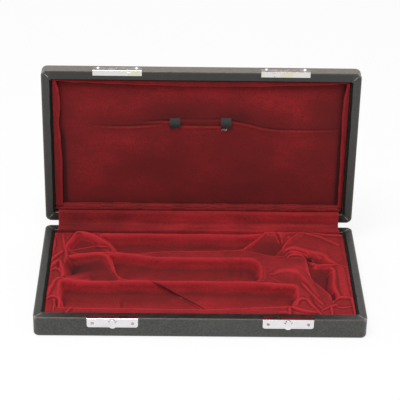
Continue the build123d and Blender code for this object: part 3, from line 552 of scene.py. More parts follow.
CHANNELS = [
    (12.2, 5.5, [(-136.5, -55), (-137, -64), (-128, -64.5), (-60, -65), (7, -65.5), (60, -62), (80, -60.2),
     (90, -60), (94.5, -52), (95, -38), (95.5, -27), (93, -22.5), (84, -20.5), (66, -18.9), (0, -18.7),
     (-60, -18.2), (-118, -19.5), (-130, -17.5), (-137, -17), (-138, -27)]),
    (12, 5.5, [(-76, -13.5), (-64, -14.5), (0, -14.8), (50, -14.5), (60, -12), (61, 4), (60, 16), (55, 24),
     (46, 26.4), (0, 25.8), (-40, 26.2), (-48, 27), (-58, 29.6), (-67, 32.2), (-80, 33.8), (-92, 33.5),
     (-90.5, 24), (-87, 12), (-83.5, 0)]),
    (12, 5.5, [(-83, 36.4), (-68, 35), (-56, 37.2), (-40, 39.6), (0, 42.2), (42, 42.8), (50, 52.5), (59, 64),
     (66, 73), (56, 71.5), (0, 71.2), (-80, 72), (-104, 72), (-96, 63), (-90, 55), (-85, 45)]),
]

# Folds inside the pockets and over the rest: radius of the crest, slopes down on its left and right,
# how far they reach, and points with their height over LINING_TOP
DEEP_FOLDS = [
    (0.9, 1.2, 0.3, 14, [(-134, 38, -0.4), (-127, 43, -1.6), (-118, 47, -2.2), (-106, 51.5, -2.4),
     (-98, 51.5, -2), (-91.5, 48.5, -0.8)]),
    (1, -0.28, 1.8, 17, [(-106, 12, -8.4), (-115.5, 9.5, -7.2), (-124, 3, -5.2), (-132.3, -5.1, -2.4),
     (-136.5, -9, -0.6)]),
    (2.6, 0.7, 0.7, 9, [(80, 77, 1.4), (85, 68, -3), (86.5, 58, -7)]),
]
FOLDS = [
    (1.4, 0.8, 0.8, 4, [(65.5, 0, -0.2), (70, -6.5, -0.3), (76, -12, -0.2), (80, -14.6, -0.4)]),
    (1.1, 2.2, 1.6, 5, [(-92.5, 34.5, 0.3), (-90.5, 24, -2.2), (-88, 14, -3.4), (-85.5, 3, -3.6),
     (-82, -8, -2.2), (-78.5, -12.4, -0.6)]),
    (1.1, 2.2, 2.2, 6, [(-135.6, 38, 0.6), (-136, 50, 1.2), (-131, 63, 1.6), (-126.5, 74.2, 2.2),
     (-117, 73.6, 2), (-108, 68.6, 1.6), (-100, 60.8, 1.4), (-92.6, 52, 1.2), (-88, 43, 0.7),
     (-86.8, 39.8, 0)]),
    (1.4, 1.2, 0.7, 8, [(-141, 70, 0.4), (-139, 54, 0.8), (-135.8, 38, 1.2), (-135, 28, 1.2),
     (-137.2, 10, 1.4), (-136.5, -10, 1.2)]),
    (1.5, 1.2, 1.2, 5, [(-150, 5, 1.2), (-148.5, 10, 2), (-145.5, 15.5, 2.5), (-142.3, 18, 2.6),
     (-139.6, 15, 2.4), (-137.8, 4, 2), (-136.2, -9, 1.4)]),
    (1.1, 1.1, 1.1, 6, [(-150, 20, 1.6), (-145.5, 28.5, 2), (-139.5, 37, 1.6)]),
    (0.9, 1.2, 1.2, 4, [(-149.6, 62, 1.2), (-148.5, 50, 1.6), (-149.4, 40, 1.2)]),
    (0.9, 1.2, 1.2, 5, [(-150, 1, 1.2), (-145, 4.2, 1.9), (-140.6, 3, 1.8), (-138.6, -2, 1.2)]),
    (1.8, 1.1, 1.4, 5, [(-137, -14, 1.4), (-140.5, -15, 2), (-144.5, -22, 2.1), (-148, -36, 1.9),
     (-149.6, -50, 1.4)]),
    (0.9, 1.6, 1.6, 4, [(-150, -51, 1.6), (-145, -46.6, 2.2), (-138.8, -48.6, 2.2), (-136.6, -54, 1.8),
     (-137, -64, 0.9)]),
    (0.8, 1.6, 1.6, 4, [(-141.8, -52, 1.8), (-141.2, -60, 1.4), (-141.6, -70, 0.6)]),
    (0.8, 1.4, 1.4, 4, [(-124.5, -65, 1.2), (-127, -70, 1.6), (-129.5, -75, 1.2)]),
    (0.8, 5, 0.5, 6, [(-136, -65.2, 0.8), (-107, -65.6, 0.4), (-76, -65.4, 0.3), (-46, -66, 0.3),
     (0, -67, 0.3), (10, -66.4, 0.3), (49, -62.9, 0.5), (79, -61.3, 1), (90, -60.8, 1.2), (98.5, -65, 1.2),
     (108, -68, 1), (116.5, -71.5, 0.8)]),
    (1, 2.4, 1.6, 6, [(43, 41.6, 0.5), (53.5, 55, 1.2), (62, 66, 1.8), (70, 75.2, 3)]),
    (1.5, 0.8, 0.8, 8, [(70, 75.2, 3.2), (80, 75.4, 3.4), (90, 75, 3), (104, 75, 3.2), (112, 74, 2.8),
     (123, 69.8, 2.2), (138, 58.5, 1.4), (143, 54.5, 1)]),
    (0.9, 1.4, 1.4, 5, [(115, 74.6, 2.6), (120.5, 75.2, 3), (128.5, 73.5, 2), (149, 73.5, 1.2)]),
    (0.8, 5, 0.9, 4, [(46, 41.2, 0.6), (53, 39.3, 0.7), (59, 37.3, 0.7), (67.5, 33.2, 0.8), (77.5, 31, 1),
     (85, 30.6, 1.4)]),
    (1.4, 0.25, 2.4, 12, [(104, 74, 3.2), (97.5, 66, 3), (92, 58, 2.8), (88, 50, 2.6), (86, 42, 2.2),
     (86.4, 34, 1.6)]),
    (1.3, 0.35, 1.6, 9, [(86.5, 36, 1.8), (90, 42.5, 2.8), (98, 45, 3.2), (109.5, 39.5, 3), (125, 33.5, 2.6),
     (130.5, 25, 2.4), (136, 16, 2.2)]),
    (0.9, 1.3, 1.8, 6, [(88, 31, 1.4), (91, 36.5, 2.4), (98.5, 38.5, 2.8), (106, 34, 2.6), (112, 27, 2.2)]),
    (1.2, 1.8, 2, 6, [(89.5, 28.5, 1.4), (93.5, 33, 2.6), (100, 33.8, 2.8), (105.5, 31, 2.4),
     (110.5, 21.8, 2), (116, 16, 1.8), (121, 12.4, 1.6)]),
    (1.2, 1.6, 0.8, 7, [(118, 13.4, 1.6), (126, 14.4, 1.9), (134, 14, 2.2), (143, 13, 2.3),
     (149.5, 7, 1.8)]),
    (1, 2.6, 0.1, 12, [(108.2, 27, 1.8), (107.8, 16.5, 1.8), (108, 8.5, 1.8), (110.6, -13.5, 1.4),
     (120.6, -28.5, 1.2), (127.5, -40, 1.2), (130.5, -48, 1)]),
    (2.8, 0.35, 1.3, 10, [(74, -2.6, 1.2), (80, 0.4, 3), (89.5, 1.4, 3.8), (98.5, -3, 4.2),
     (105.5, -17.5, 4), (110.5, -30.5, 3.4), (113.5, -42, 2.6)]),
    (2.2, 0.6, 3, 6, [(99.5, -16, -0.6), (101, -19.5, 1.6), (103, -26, 3), (107, -36, 3), (112.5, -46, 2.4),
     (118, -56, 1.6)]),
    (1.4, 0.6, 1.8, 6, [(94.8, -56, 0.8), (95.6, -51, 1.6), (99, -48, 2), (104, -48.6, 1.8),
     (107.6, -57, 1.4), (113, -66, 0.8)]),
    (1.6, 0.5, 1.4, 9, [(134.6, 2, 2.4), (134.2, -10, 2.4), (132.8, -24, 2.4), (134.4, -36, 2.4),
     (136.4, -44, 2.4)]),
    (5, 0.6, 0.6, 9, [(141, 11, 2.4), (142, 2, 2.8), (142, -20, 3), (142.5, -42, 2.8)]),
    (0.9, 2, 1.4, 5, [(129.6, -52.5, 1.8), (132, -49, 2.8), (135.8, -46.4, 3.4), (143, -46, 3.4),
     (147.6, -46.8, 3), (148.8, -52, 2.4)]),
    (0.9, 1.6, 1.6, 4, [(147.8, -47, 2.6), (148.9, -56, 2.3), (149.2, -73, 1.9)]),
    (0.8, 1, 1, 4, [(131, -60, 1.4), (138, -62.5, 1.4), (146, -60.5, 1.2)]),
    (0.9, 1.5, 1.5, 4, [(117.5, -67.5, 1.6), (125.5, -62, 2.4), (132.5, -58.5, 2.6)]),
    (0.8, 1.5, 1.5, 4, [(127, -62.5, 2.3), (127, -69, 2), (127.3, -75, 1.4)]),
    (0.8, 1.5, 1.5, 4, [(112.5, -67, 1.4), (116.5, -74.5, 1.8)]),
    (0.7, 1.5, 1.5, 4, [(76.5, -70.5, 1.3), (82.5, -70.8, 1.8), (84.6, -71.6, 1.6)]),
    (0.8, 1.6, 1.6, 4, [(86.6, -61.5, 1.6), (86.4, -68, 1.9), (86, -75, 1.6)]),
]

# Grooves and slits, and welts where the depth is negative: half width, and points with their depth
GROOVES = [
    (1.3, [(-150, -21, -0.3), (-145, -15, -0.6), (-140, -12.3, -1), (-133, -14.6, -0.8), (-118, -17.8, -0.6),
     (-78, -17.6, -0.5), (-60, -17.2, -0.5), (0, -17.6, -0.5), (50, -17.6, -0.5), (62, -17.8, -0.5),
     (74, -18.2, -0.4), (84, -19.2, -0.4), (92, -21, -0.5)]),
    (1.3, [(58, -14, -0.2), (64.5, -12, -0.3), (65.5, 0, -0.2), (64.5, 10.5, -0.1)]),
    (1, [(-134, 38.4, -0.4), (-127, 43.4, -0.9), (-118, 47.4, -1), (-106, 51.9, -1), (-98, 51.9, -0.9),
     (-91.5, 48.9, -0.4)]),
    (1.2, [(-134, 29, -0.6), (-118, 32.8, -0.8), (-102, 36.2, -0.8), (-92, 35.4, -0.7), (-80, 34.6, -0.5),
     (-68, 33.2, -0.5), (-57, 30.2, -0.5), (-45, 27.4, -0.4), (44, 27.2, -0.4), (52, 27.2, -0.4),
     (58, 26, -0.2)]),
    (1, [(-85, 35.6, -0.5), (-68, 34.4, -0.4), (-58, 36.2, -0.4), (-40, 38.8, -0.4), (0, 41.4, -0.4),
     (43, 42, -0.5)]),
    (1.3, [(-142.6, 14, 1.2), (-142.2, 10, 3), (-141.8, 5, 1.5)]),
    (0.9, [(-139.6, -52, 2), (-139, -57.5, 7), (-138.6, -62.5, 4)]),
    (1.6, [(-106, 50, 0.5), (-97, 49, 1.4), (-91, 45.6, 0.6)]),
    (1, [(88.5, 37.5, 1), (94, 41, 2.6), (101, 41, 3), (108, 36.5, 3), (114, 29, 2)]),
    (0.9, [(91, 35.2, 1), (98, 36, 1.8), (105, 33, 1.8), (110, 26, 1)]),
    (0.9, [(92, 30.2, 1), (98, 31, 1.6), (104, 29, 1.6)]),
    (2.2, [(131.4, -49, 2), (130.6, -44, 4), (131, -38, 2)]),
    (1.6, [(109, 28.5, 2), (111, 24, 8), (114.5, 20.5, 4)]),
    (1.1, [(88.6, -63.5, 1.5), (98, -68.6, 3.5), (112, -72, 1.5)]),
    (1.2, [(79.5, 75, 0.5), (83.5, 70, 3), (85, 62, 1)]),
    (1.6, [(108, -44, 0.5), (112, -56, 2), (117, -66, 1)]),
    (2.2, [(-77.5, -31, 0.1), (-76.5, -42, 0.7), (-77.5, -56, 0.1)]),
]

# Cloth lapped across the front channel: over how far its lift dies away, where it starts, points of its edge
# with their lift, and the dark tube of painted shadow under that edge with its height
LAP_REACH = 7.0
LAP_FROM_Y = -16.5
LAP = [
    (-50, -16.2, 0), (-45, -17.4, 0.2), (-41, -18.2, 0.4), (-36, -19, 0.5), (-31.8, -20, 0.7),
    (-24.4, -23, 1.2), (-16.6, -29.8, 1.6), (-7.6, -38.6, 1.6), (0, -46.8, 1.6), (6, -54.5, 1.4),
    (11, -62.5, 0.5),
]
LAP_SHADOW_RADIUS = 0.7
LAP_SHADOW_LEVEL = -0.5
LAP_SHADOW = [
    (-50.5, -16.9, 19.6), (-46, -18.2, 18.9), (-41.4, -19.6, 17.4), (-36.4, -20.4, 15.1),
    (-31.8, -21.2, 12.8), (-24.4, -23.6, 9.4), (-16.6, -29.6, 8.3), (-7.6, -38.2, 8.2), (0.1, -46, 8.2),
    (6, -53, 8.8), (12, -60.5, 12),
]

# Patches of painted light and shade on the base lining: x, y, half sizes and shade
LINING_PATCHES = [
    (-118, -4, 16, 9, 0.22), (-98, 4, 9, 14, 0.14), (-131, 16, 7, 9, -0.18), (-112, 20, 14, 8, -0.1),
    (-143, -40, 5, 30, 0.08), (-143, 40, 5, 26, 0.08), (96, 2, 14, 8, 0.2), (100, 34, 12, 5, 0.1),
    (142, -20, 6, 24, 0.1), (104, 62, 12, 10, 0.06), (130, 50, 14, 12, 0.05), (0, -66, 160, 5, 0.1),
    (12, -34, 24, 10, 0.12), (100, -50, 8, 10, 0.08), (111.8, 24, 3.2, 4, -1), (132, -42, 2.5, 6, -0.25),
    (86, 35, 5, 4, -0.3), (122, 2, 8, 9, -0.12), (139, -56, 8, 6, -0.06), (-140.6, -58, 2, 5, -0.3),
    (42, 16, 1.6, 9, -0.14), (33, 16, 2, 9, -0.09), (50, 17, 1.4, 8, -0.1), (-72, 8, 8, 12, -0.08),
    (54, 12, 7, 9, -0.1), (75, 58, 6, 12, -0.08), (95, -42, 4, 12, -0.08),
]


def waves(x, y, length, size, seed):
    """Gentle uneven undulation of the given wave length and height."""
    rng = np.random.default_rng(seed)
    total = np.zeros(x.shape)
    for _ in range(7):
        angle, phase = rng.uniform(0, 2 * pi, 2)
        k = 2 * pi / (length * rng.uniform(0.7, 1.6))
        total += np.sin(k * (x * cos(angle) + y * sin(angle)) + phase)
    return total * size / 7 ** 0.5


def rounded(corners, passes=3):
    """Closed outline with its corners cut again and again."""
    p = np.array(corners, float)
    for _ in range(passes):
        q = np.roll(p, -1, axis=0)
        p = np.stack([0.75 * p + 0.25 * q, 0.25 * p + 0.75 * q], 1).reshape(-1, 2)
    return p


def around(x, y, line, reach):
    """The part of the grid within reach of a line of points."""
    cols, rows = (np.flatnonzero((grid > p.min() - reach) & (grid < p.max() + reach))
                  for grid, p in ((x[0], line[:, 0]), (y[:, 0], line[:, 1])))
    return np.s_[rows[0]:rows[-1] + 1, cols[0]:cols[-1] + 1]


def cut_hollows(x, y, z, painted_shading, hollows):
    for depth, wall, rise, (low_x, low_y), dark, corners in hollows:
        line = rounded(corners)
        part = around(x, y, line, 1.0)
        px, py = x[part], y[part]
        closed = np.column_stack([np.vstack([line, line[:1]]), np.zeros(len(line) + 1)])
        t = np.where(inside(px, py, line.tolist()), np.clip(nearest(px, py, closed)[0] / wall, 0, 1), 0)
        deep = np.maximum(depth - rise * np.hypot(px - low_x, py - low_y), 1.0)
        z[part] = np.minimum(z[part], np.maximum(z[part], LINING_TOP) - deep * np.sqrt(1 - (1 - t) ** 2))
        # painted shade in the pockets, more where they are deeper
        painted_shading[part] -= dark * smooth(t) * deep / depth


def lay_folds(x, y, z, folds):
    for radius, left, right, reach, points in folds:
        line = curve_through(points)
        part = around(x, y, line, reach)
        d, top, side = nearest(x[part], y[part], line)
        slope = np.where(side > 0, left, right)
        fold = LINING_TOP + top - slope * (np.sqrt(d * d + radius * radius) - radius)
        z[part] = np.where(d < reach, smooth_max(z[part], fold - 3 * smooth(d / reach) ** 4, 0.5), z[part])


def lining_height(x, y):
    """Height of the base lining's cloth over a plan point, and the painted light and shade that its hollows,
    grooves, lap and patches give it.
    """
    weight, total = 0.02, 0.0
    for px, py, height in SWELLS:
        near = np.exp(-((x - px) ** 2 + (y - py) ** 2) / (2 * SWELL_REACH ** 2))
        weight, total = weight + near, total + near * height
    z = LINING_TOP + total / weight + waves(x, y, 45, 0.15, 3)
    painted_shading = np.zeros(x.shape)
    cut_hollows(x, y, z, painted_shading, POCKETS)
    z = blurred(z, 2)
    lay_folds(x, y, z, DEEP_FOLDS)
    cut_hollows(x, y, z, painted_shading, [(depth, wall, 0, (0, 0), 0, line) for depth, wall, line in CHANNELS])
    z = blurred(z, 2)
    lay_folds(x, y, z, FOLDS)
    for half, points in GROOVES:
        d, depth, _ = nearest(x, y, curve_through(points))
        z = z - depth * bell(d / half)
        # painted shade in grooves, painted highlights on welts
        painted_shading -= 0.06 * depth * bell(d / half)
    d, lift, side = nearest(x, y, curve_through(LAP))
    lift = lift * smooth((LAP_FROM_Y - y) / 2.5)
    z = z + lift * np.where(side > 0, np.exp(-d / LAP_REACH), bell(d / 0.6))
    # painted highlight on the lifted lap, and patches of painted light and shade
    painted_shading += 0.06 * lift * np.where(side > 0, np.exp(-d / LAP_REACH), 0) + patches(x, y, LINING_PATCHES)
    return z + waves(x, y, 16, 0.12, 5), painted_shading


def blurred(z, passes):
    for _ in range(passes):
        p = np.pad(z, 1, mode="edge")
        z = (p[:-2, 1:-1] + p[2:, 1:-1] + p[1:-1, :-2] + p[1:-1, 2:] + 4 * p[1:-1, 1:-1]) / 8
    return z


LINING_CELL = 0.75
EDGE_ROLL = 1.6  # radius of the lining's outer edge
SHADE_ROWS = (3, 5, 7, 9, 11, 13)  # how many rows off a shading wall is looked for
WIDEST_FLOOR = 45.0  # how far from a channel's back wall the painted light on its floor still grows
WALL_H = 12.0  # height of a channel's wall
LOOSE_LEFT, LOOSE_RIGHT = -86.0, 58.0  # the cloth is looser beyond these


def shifted(z, rows):
    """The grid with each place showing what lies that many rows behind it."""
    return z[np.clip(np.arange(len(z)) + rows, 0, len(z) - 1)]


def skirted(points, shade, axis, level, darker=0.0):
    """The grid with one more ring of points, at a level on one axis, and its shade."""
    points = np.pad(points, ((1, 1), (1, 1), (0, 0)), mode="edge")
    shade = np.pad(shade, 1, mode="edge")
    skirt = np.ones(shade.shape, bool)
    skirt[1:-1, 1:-1] = False
    points[skirt, axis] = level
    shade[skirt] -= darker
    return points, shade


def lining_shade(x, z, painted_shading):
    """Painted light and shade of the base lining: its crests and hollows, the channels' walls and floors, the
    loose ends.
    """
    fine, crest, wide = (z - blurred(z, passes) for passes in (3, 14, 120))
    behind = np.max([shifted(z, k) for k in SHADE_ROWS], axis=0)
    ahead = np.max([shifted(z, -k) for k in SHADE_ROWS], axis=0)
    below = np.clip((behind - z) / WALL_H, 0, 1)
    near_front = blurred(np.clip((ahead - z) / WALL_H, 0, 1), 12)
    steep = smooth(np.hypot(*np.gradient(z, LINING_CELL)) / 0.9)
    foot = np.full(z.shape, WIDEST_FLOOR)
    for k in range(int(WIDEST_FLOOR / LINING_CELL), 2, -3):
        foot[shifted(z, k) > z + 5] = k * LINING_CELL
    floor = smooth((12.5 - z) / 4) * (foot < WIDEST_FLOOR)
    loose = smooth((x - LOOSE_RIGHT) / 14) + smooth((LOOSE_LEFT - x) / 14)
    # painted highlights on crests and painted shade in creases, stronger in the loose cloth; less of that
    # shade at the foot of walls
    shade = np.clip(fine * 2.4, -0.2 - 0.06 * loose, 0.15 + 0.17 * loose)
    shade *= np.where(fine < 0, 1 - 0.8 * smooth(3 * below), 1)
    shade += np.clip(crest * 0.06, -0.04, 0.06) + np.clip(wide * 0.02, -0.02, 0.06) + painted_shading
    # painted light: paler on high cloth, on walls that face the front, and on floors behind a wall in front
    shade += 0.1 * smooth((z - 14) / 5) + 2.2 * steep * below ** 2 * (1 - below) + 0.08 * near_front
    # painted shade on a channel's floor at the foot of its back wall, giving way to painted light towards the
    # front
    return shade + floor * (0.36 * smooth(foot / 44) - 0.08)


def make_lining():
    """Base lining: a cloth laid over rails and dividers, tucked down all round."""
    cols = int((LINING_RIGHT - LINING_LEFT) / LINING_CELL) + 1
    rows = int((LINING_BACK - LINING_FRONT) / LINING_CELL) + 1
    x, y = np.meshgrid(np.linspace(LINING_LEFT, LINING_RIGHT, cols),
                       np.linspace(LINING_FRONT, LINING_BACK, rows))
    z, painted_shading = lining_height(x, y)
    edge = np.minimum.reduce([x - LINING_LEFT, LINING_RIGHT - x, y - LINING_FRONT, LINING_BACK - y])
    roll = np.clip(1 - edge / EDGE_ROLL, 0, 1)
    z = blurred(z, 1) - EDGE_ROLL * (1 - np.sqrt(1 - roll ** 2 * 0.98))
    # painted shade of 0.2 on the skirt tucked down round the edge
    points, shade = skirted(np.stack([x, y, z], -1), lining_shade(x, z, painted_shading), 2, LINING_ROOT, 0.2)
    lining = grid_piece("base_lining_cloth", points, "velvet", "base", shade=shade)
    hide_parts("base_lining")
    make_lap_shadow(z)


def make_lap_shadow(z):
    """Dark tube of painted shadow under the edge of the lapped cloth, on the lining's height."""
    line = curve_through(LAP_SHADOW, 1.0)
    share = np.linspace(0, 1, len(line))
    thickness = LAP_SHADOW_RADIUS * smooth(share * 6) * smooth((1 - share) * 8)
    row, col = np.round((line[:, 1::-1].T - [[LINING_FRONT], [LINING_LEFT]]) / LINING_CELL).astype(int)
    height = np.maximum(line[:, 2], z[row, col] + 0.1)
    rings = [np.column_stack([line[:, 0], line[:, 1] + thickness * cos(t), height + thickness * sin(t)])
             for t in np.linspace(0, 2 * pi, 8)]
    shade = np.full((8, len(line)), LAP_SHADOW_LEVEL)
    gap = grid_piece("lap_painted_shadow", np.stack(rings), "velvet", "base", shade=shade)


def through(samples, at):
    """Smooth values, at the given places, of rows of (place, value, ...)."""
    rows = np.array(samples, float)
    t = np.clip(np.searchsorted(rows[:, 0], at) - 1, 0, len(rows) - 2)
    share = smooth((at - rows[t, 0]) / (rows[t + 1, 0] - rows[t, 0]))
    return (rows[t, 1:] + (rows[t + 1, 1:] - rows[t, 1:]) * share[:, None]).T


# Lid's pad: sewn crease, and patches of painted light and shade as x, z, half sizes and shade
CREASES = [
    (0.9, [(-113, 134, 0), (-98, 133, 0.5), (-82, 132.7, 0.8), (-60, 133.8, 0.9), (-41, 135.5, 0.4)]),
    (0.9, [(-58, 137.8, 0.2), (-46, 139.2, 0.8), (-31, 139.8, 1.2)]),
    (1, [(-21, 134.6, 0.8), (0, 134.2, 0.9), (21, 134.3, 0.8)]),
    (1.2, [(-21, 141.5, 0.5), (0, 141, 0.3), (21, 141.5, 0.5)]),
    (1, [(31, 139.8, 1), (48, 136.5, 0.9), (71, 131.2, 0.8), (100, 130.2, 0.7), (139, 130.8, 0.4)]),
]
PAD_PATCHES = [
    (8, 172, 45, 8, 0.16), (-112, 155, 22, 20, 0.1), (-72, 152, 20, 10, 0.08), (78, 163, 26, 12, 0.1),
    (-22, 150, 34, 9, -0.2), (38, 146, 24, 7, -0.16), (-118, 78, 14, 34, 0.08), (-45, 92, 34, 12, -0.1),
    (-62, 66, 40, 9, 0.08), (84, 96, 14, 22, 0.07), (40, 60, 60, 16, -0.12), (-20, 46, 120, 8, -0.1),
    (125, 128, 12, 40, -0.06), (112, 170, 14, 8, 0.06), (30, 105, 40, 20, -0.05), (-90, 118, 30, 10, 0.05),
]
PAD_CELL = 0.9
PAD_EDGE = 7.0  # width of the pad's rounded edge
PAD_BACK_Y = LID_BOARD_Y - 0.15


def make_pad():
    """Padded panel inside the lid, closed at the back, with the crease that its loops are sewn in."""
    cols = int(2 * PAD_HALF_X / PAD_CELL) + 1
    rows = int((PAD_HIGH - PAD_LOW) / PAD_CELL) + 1
    x, z = np.meshgrid(np.linspace(-PAD_HALF_X, PAD_HALF_X, cols), np.linspace(PAD_LOW, PAD_HIGH, rows))
    rise = waves(x, z, 70, 0.3, 11) + waves(x, z, 24, 0.07, 12)
    # painted light: darker towards the bottom, paler near the top
    shade = waves(x, z, 60, 0.03, 13) - 0.04 * smooth((120 - z) / 70) + 0.05 * smooth((z - 140) / 30)
    for half, points in CREASES:
        d, depth, side = nearest(x, z, curve_through(points))
        low = np.where(side < 0, d, -d)
        rise += depth * (0.5 * bell((low - 1.8) / 1.6) - bell(d / half))
        # painted shade in and above each crease, a painted highlight on its lip below
        shade += depth * (0.16 * bell((low - 1.5) / 1.1) - 0.28 * bell((low + 0.4) / 1.1))
        shade -= 0.14 * depth * bell((low + 4) / 4)
    shade += patches(x, z, PAD_PATCHES)
    edge = np.minimum.reduce([PAD_HALF_X - np.abs(x), z - PAD_LOW, PAD_HIGH - z])
    roll = np.clip(1 - edge / PAD_EDGE, 0, 1)
    y = np.minimum(PAD_Y - rise + 2 * (1 - np.sqrt(1 - 0.97 * roll ** 2)), PAD_BACK_Y - 0.2)
    # painted shade towards the pad's rounded edges and its sides
    shade -= 0.25 * smooth(1 - edge / (PAD_EDGE + 4)) + 0.2 * np.exp((np.abs(x) - PAD_HALF_X) / 8)
    # painted shadow in the gaps beside the side strips, lower down
    shade -= smooth((140 - z) / 40) * (0.9 * bell((x + 140) / 2.4) + 0.5 * bell((x - 143) / 1.8))
    points, shade = skirted(np.stack([x, y, z], -1), shade, 1, PAD_BACK_Y)
    pad = grid_piece("lid_pad_cloth", points, "velvet", "lid", shade=shade)
    close_behind(pad)
    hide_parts("lid_pad")


def close_behind(piece):
    """Closes a piece's open edge loop with one face."""
    shell = bmesh.new()
    shell.from_mesh(piece.data)
    bmesh.ops.holes_fill(shell, edges=[e for e in shell.edges if e.is_boundary], sides=0)
    shell.to_mesh(piece.data)
    shell.free()


STRIP_STEP = 1.2  # along a strip
STRIP_POINTS = 44  # round its section


def lid_strip(name, node, place, seed, samples, lean=0.5):
    """Cloth strip along a wall of the lid: samples are (place along it, gap to the wall, width, height);
    it leans back by lean towards its inner edge. Place turns a place and a distance from the wall to x, z."""
    s = np.arange(samples[0][0], samples[-1][0] + 0.01, STRIP_STEP)
    gap, width, height = through(samples, s)
    rng = np.random.default_rng(seed)
    wobble = sum(np.sin(s * 2 * pi / rng.uniform(14, 50) + rng.uniform(0, 6)) for _ in range(4)) / 4
    width = width + 0.35 * wobble
    rows = []
    for g, w, h in zip(gap, width, height):
        section = [(0.15, 0.3), (g, h - 2.2), (g + 0.5, h - 0.6), (g + 1.5, h),
                   ((g + w) / 2, h - 0.35 * lean), (w - 1.2, h - lean), (w - 0.2, h - lean - 0.7),
                   (w, h - lean - 1.9), (w - 0.9, 1.4), (w - 2.2, 0.5)]
        line = curve_through(section, 0.4)
        rows.append(line[np.linspace(0, len(line) - 1, STRIP_POINTS).astype(int)])
    rows = np.array(rows)
    u, v = rows[..., 0], rows[..., 1] + 0.12 * wobble[:, None]
    x, z = place(s[:, None] + 0 * u, u)
    out = (v - v.min()) / (v.max() - v.min())
    # painted light: paler towards the strip's face, a painted highlight along its inner edge, painted shade
    # down towards the root
    shade = 0.06 * out + 0.22 * bell((u - width[:, None] + 0.9) / 0.8) * smooth(out * 1.6 - 0.4)
    shade += 0.04 * wobble[:, None] - 0.06 - 0.3 * smooth(1 - out * 2.2)
    points = np.stack([x, LID_BOARD_Y - v, z], -1)
    strip = grid_piece("lid_strip_%s_cloth" % name, points, "velvet", "lid", shade=shade)
    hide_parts("lid_strip_" + node)


def make_lid_strips():
    lid_strip("left", "left", lambda s, u: (u - INNER_X, s), 21, [
        (41.5, 1, 8.1, 7), (70, 1.2, 8.4, 7), (98, 1.3, 8.8, 7.2), (118, 1.1, 7.6, 7.4),
        (135, 0.9, 6.9, 7.5), (160, 0.7, 8.2, 7.6), (172, 0.5, 7.6, 7.6), (186.5, 0.5, 4.6, 7.6)])
    lid_strip("right", "right", lambda s, u: (INNER_X - u, s), 22, [
        (41.5, 1, 5.2, 7), (75, 1.1, 5.4, 7), (107, 1.2, 5.9, 7.2), (130, 0.9, 6.2, 7.4),
        (146, 0.8, 6.9, 7.5), (168, 0.7, 6, 7.6), (186.5, 0.5, 4.2, 7.6)])
    lid_strip("top", "front", lambda s, u: (s, LID_UPPER_Z - u), 23, [
        (-149.3, 0.4, 2.6, 7.4), (-120, 0.4, 4.4, 7.5), (-60, 0.4, 6.2, 7.6), (0, 0.4, 7.4, 7.6),
        (50, 0.4, 7, 7.6), (110, 0.4, 5, 7.5), (149.3, 0.4, 3, 7.4)])
    lid_strip("bottom", "back", lambda s, u: (s, LID_BOTTOM_Z + u), 24, [
        (-149.3, 1.6, 8.2, 6.4), (-100, 1.6, 8.6, 6.6), (-30, 1.6, 8.2, 6.6), (40, 1.6, 8.4, 6.5),
        (100, 1.6, 8.3, 6.6), (149.3, 1.6, 7.9, 6.4)], lean=2.6)


def make_loops():
    """Two ribbed elastic loops that stand off the pad, their ends in its crease."""
    middle, half = (LOOP_LOW + LOOP_HIGH) / 2, (LOOP_HIGH - LOOP_LOW) / 2
    a = np.linspace(-LOOP_BEND, LOOP_BEND, 36)[:, None]
    ny, nz = -np.cos(a) * half, np.sin(a) * LOOP_STAND
    size = np.hypot(ny, nz)
    u = np.linspace(-1, 1, 46)
    across = np.concatenate([u, u[::-1]]) * LOOP_W / 2
    out = np.concatenate([LOOP_RIB_H * np.abs(np.sin(u * pi * LOOP_RIBS / 2)), 0 * u - LOOP_T])
    y = LOOP_Y + LOOP_STAND * (1 - np.cos(a)) / (1 - cos(LOOP_BEND)) + ny / size * out
    z = middle + half * np.sin(a) / sin(LOOP_BEND) + nz / size * out
    for side, name in ((-1, "left"), (1, "right")):
        x = side * LOOP_X + across * (1 + 0.02 * np.cos(3 * a))
        loop = grid_piece("elastic_loop_%s_band" % name, np.stack([x, y, z], -1), "elastic", "lid", ring=True)
        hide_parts("elastic_loop_" + name)


def tube(points, radius):
    """Rings of points round a line, shrinking at its ends."""
    p = np.array(points, float)
    t = np.gradient(p, axis=0)
    t /= np.linalg.norm(t, axis=1)[:, None]
    a = np.cross(t, (0.31, 0.52, 0.79))
    a /= np.linalg.norm(a, axis=1)[:, None]
    b = np.cross(t, a)
    r = radius * np.sin(np.linspace(0.25, pi - 0.25, len(p))) ** 0.4
    turn = np.linspace(0, 2 * pi, 6, endpoint=False)[:, None]
    ring = a[:, None] * np.cos(turn) + b[:, None] * np.sin(turn)
    return p[:, None] + ring * r[:, None, None]


def make_frayed_threads():
    """Pulled threads of the lining's white ground under the right loop."""
    rng = np.random.default_rng(31)
    threads, tones = [], []
    for i in range(26):
        dyed = i % 3 == 0
        x0 = LOOP_X - 1.0 + rng.uniform(-2.6, 2.6)
        start = np.array([x0, PAD_Y - 0.1, LOOP_LOW + 0.9 + rng.uniform(-0.5, 0.5)])
        end = start + (rng.uniform(-1.3, 1.3), -rng.uniform(0.6, 1.6), -rng.uniform(0.6, 1.7) - 0.8 * dyed)
        middle = (start + end) / 2 + (rng.uniform(-0.5, 0.5), -0.7, 0.2)
        threads.append(tube(curve_through([start, middle, end], 0.25), 0.13))
        tones.append(0.1 if dyed else 0.85)
    join_tubes("frayed_threads", threads, "thread", "lid", tones)


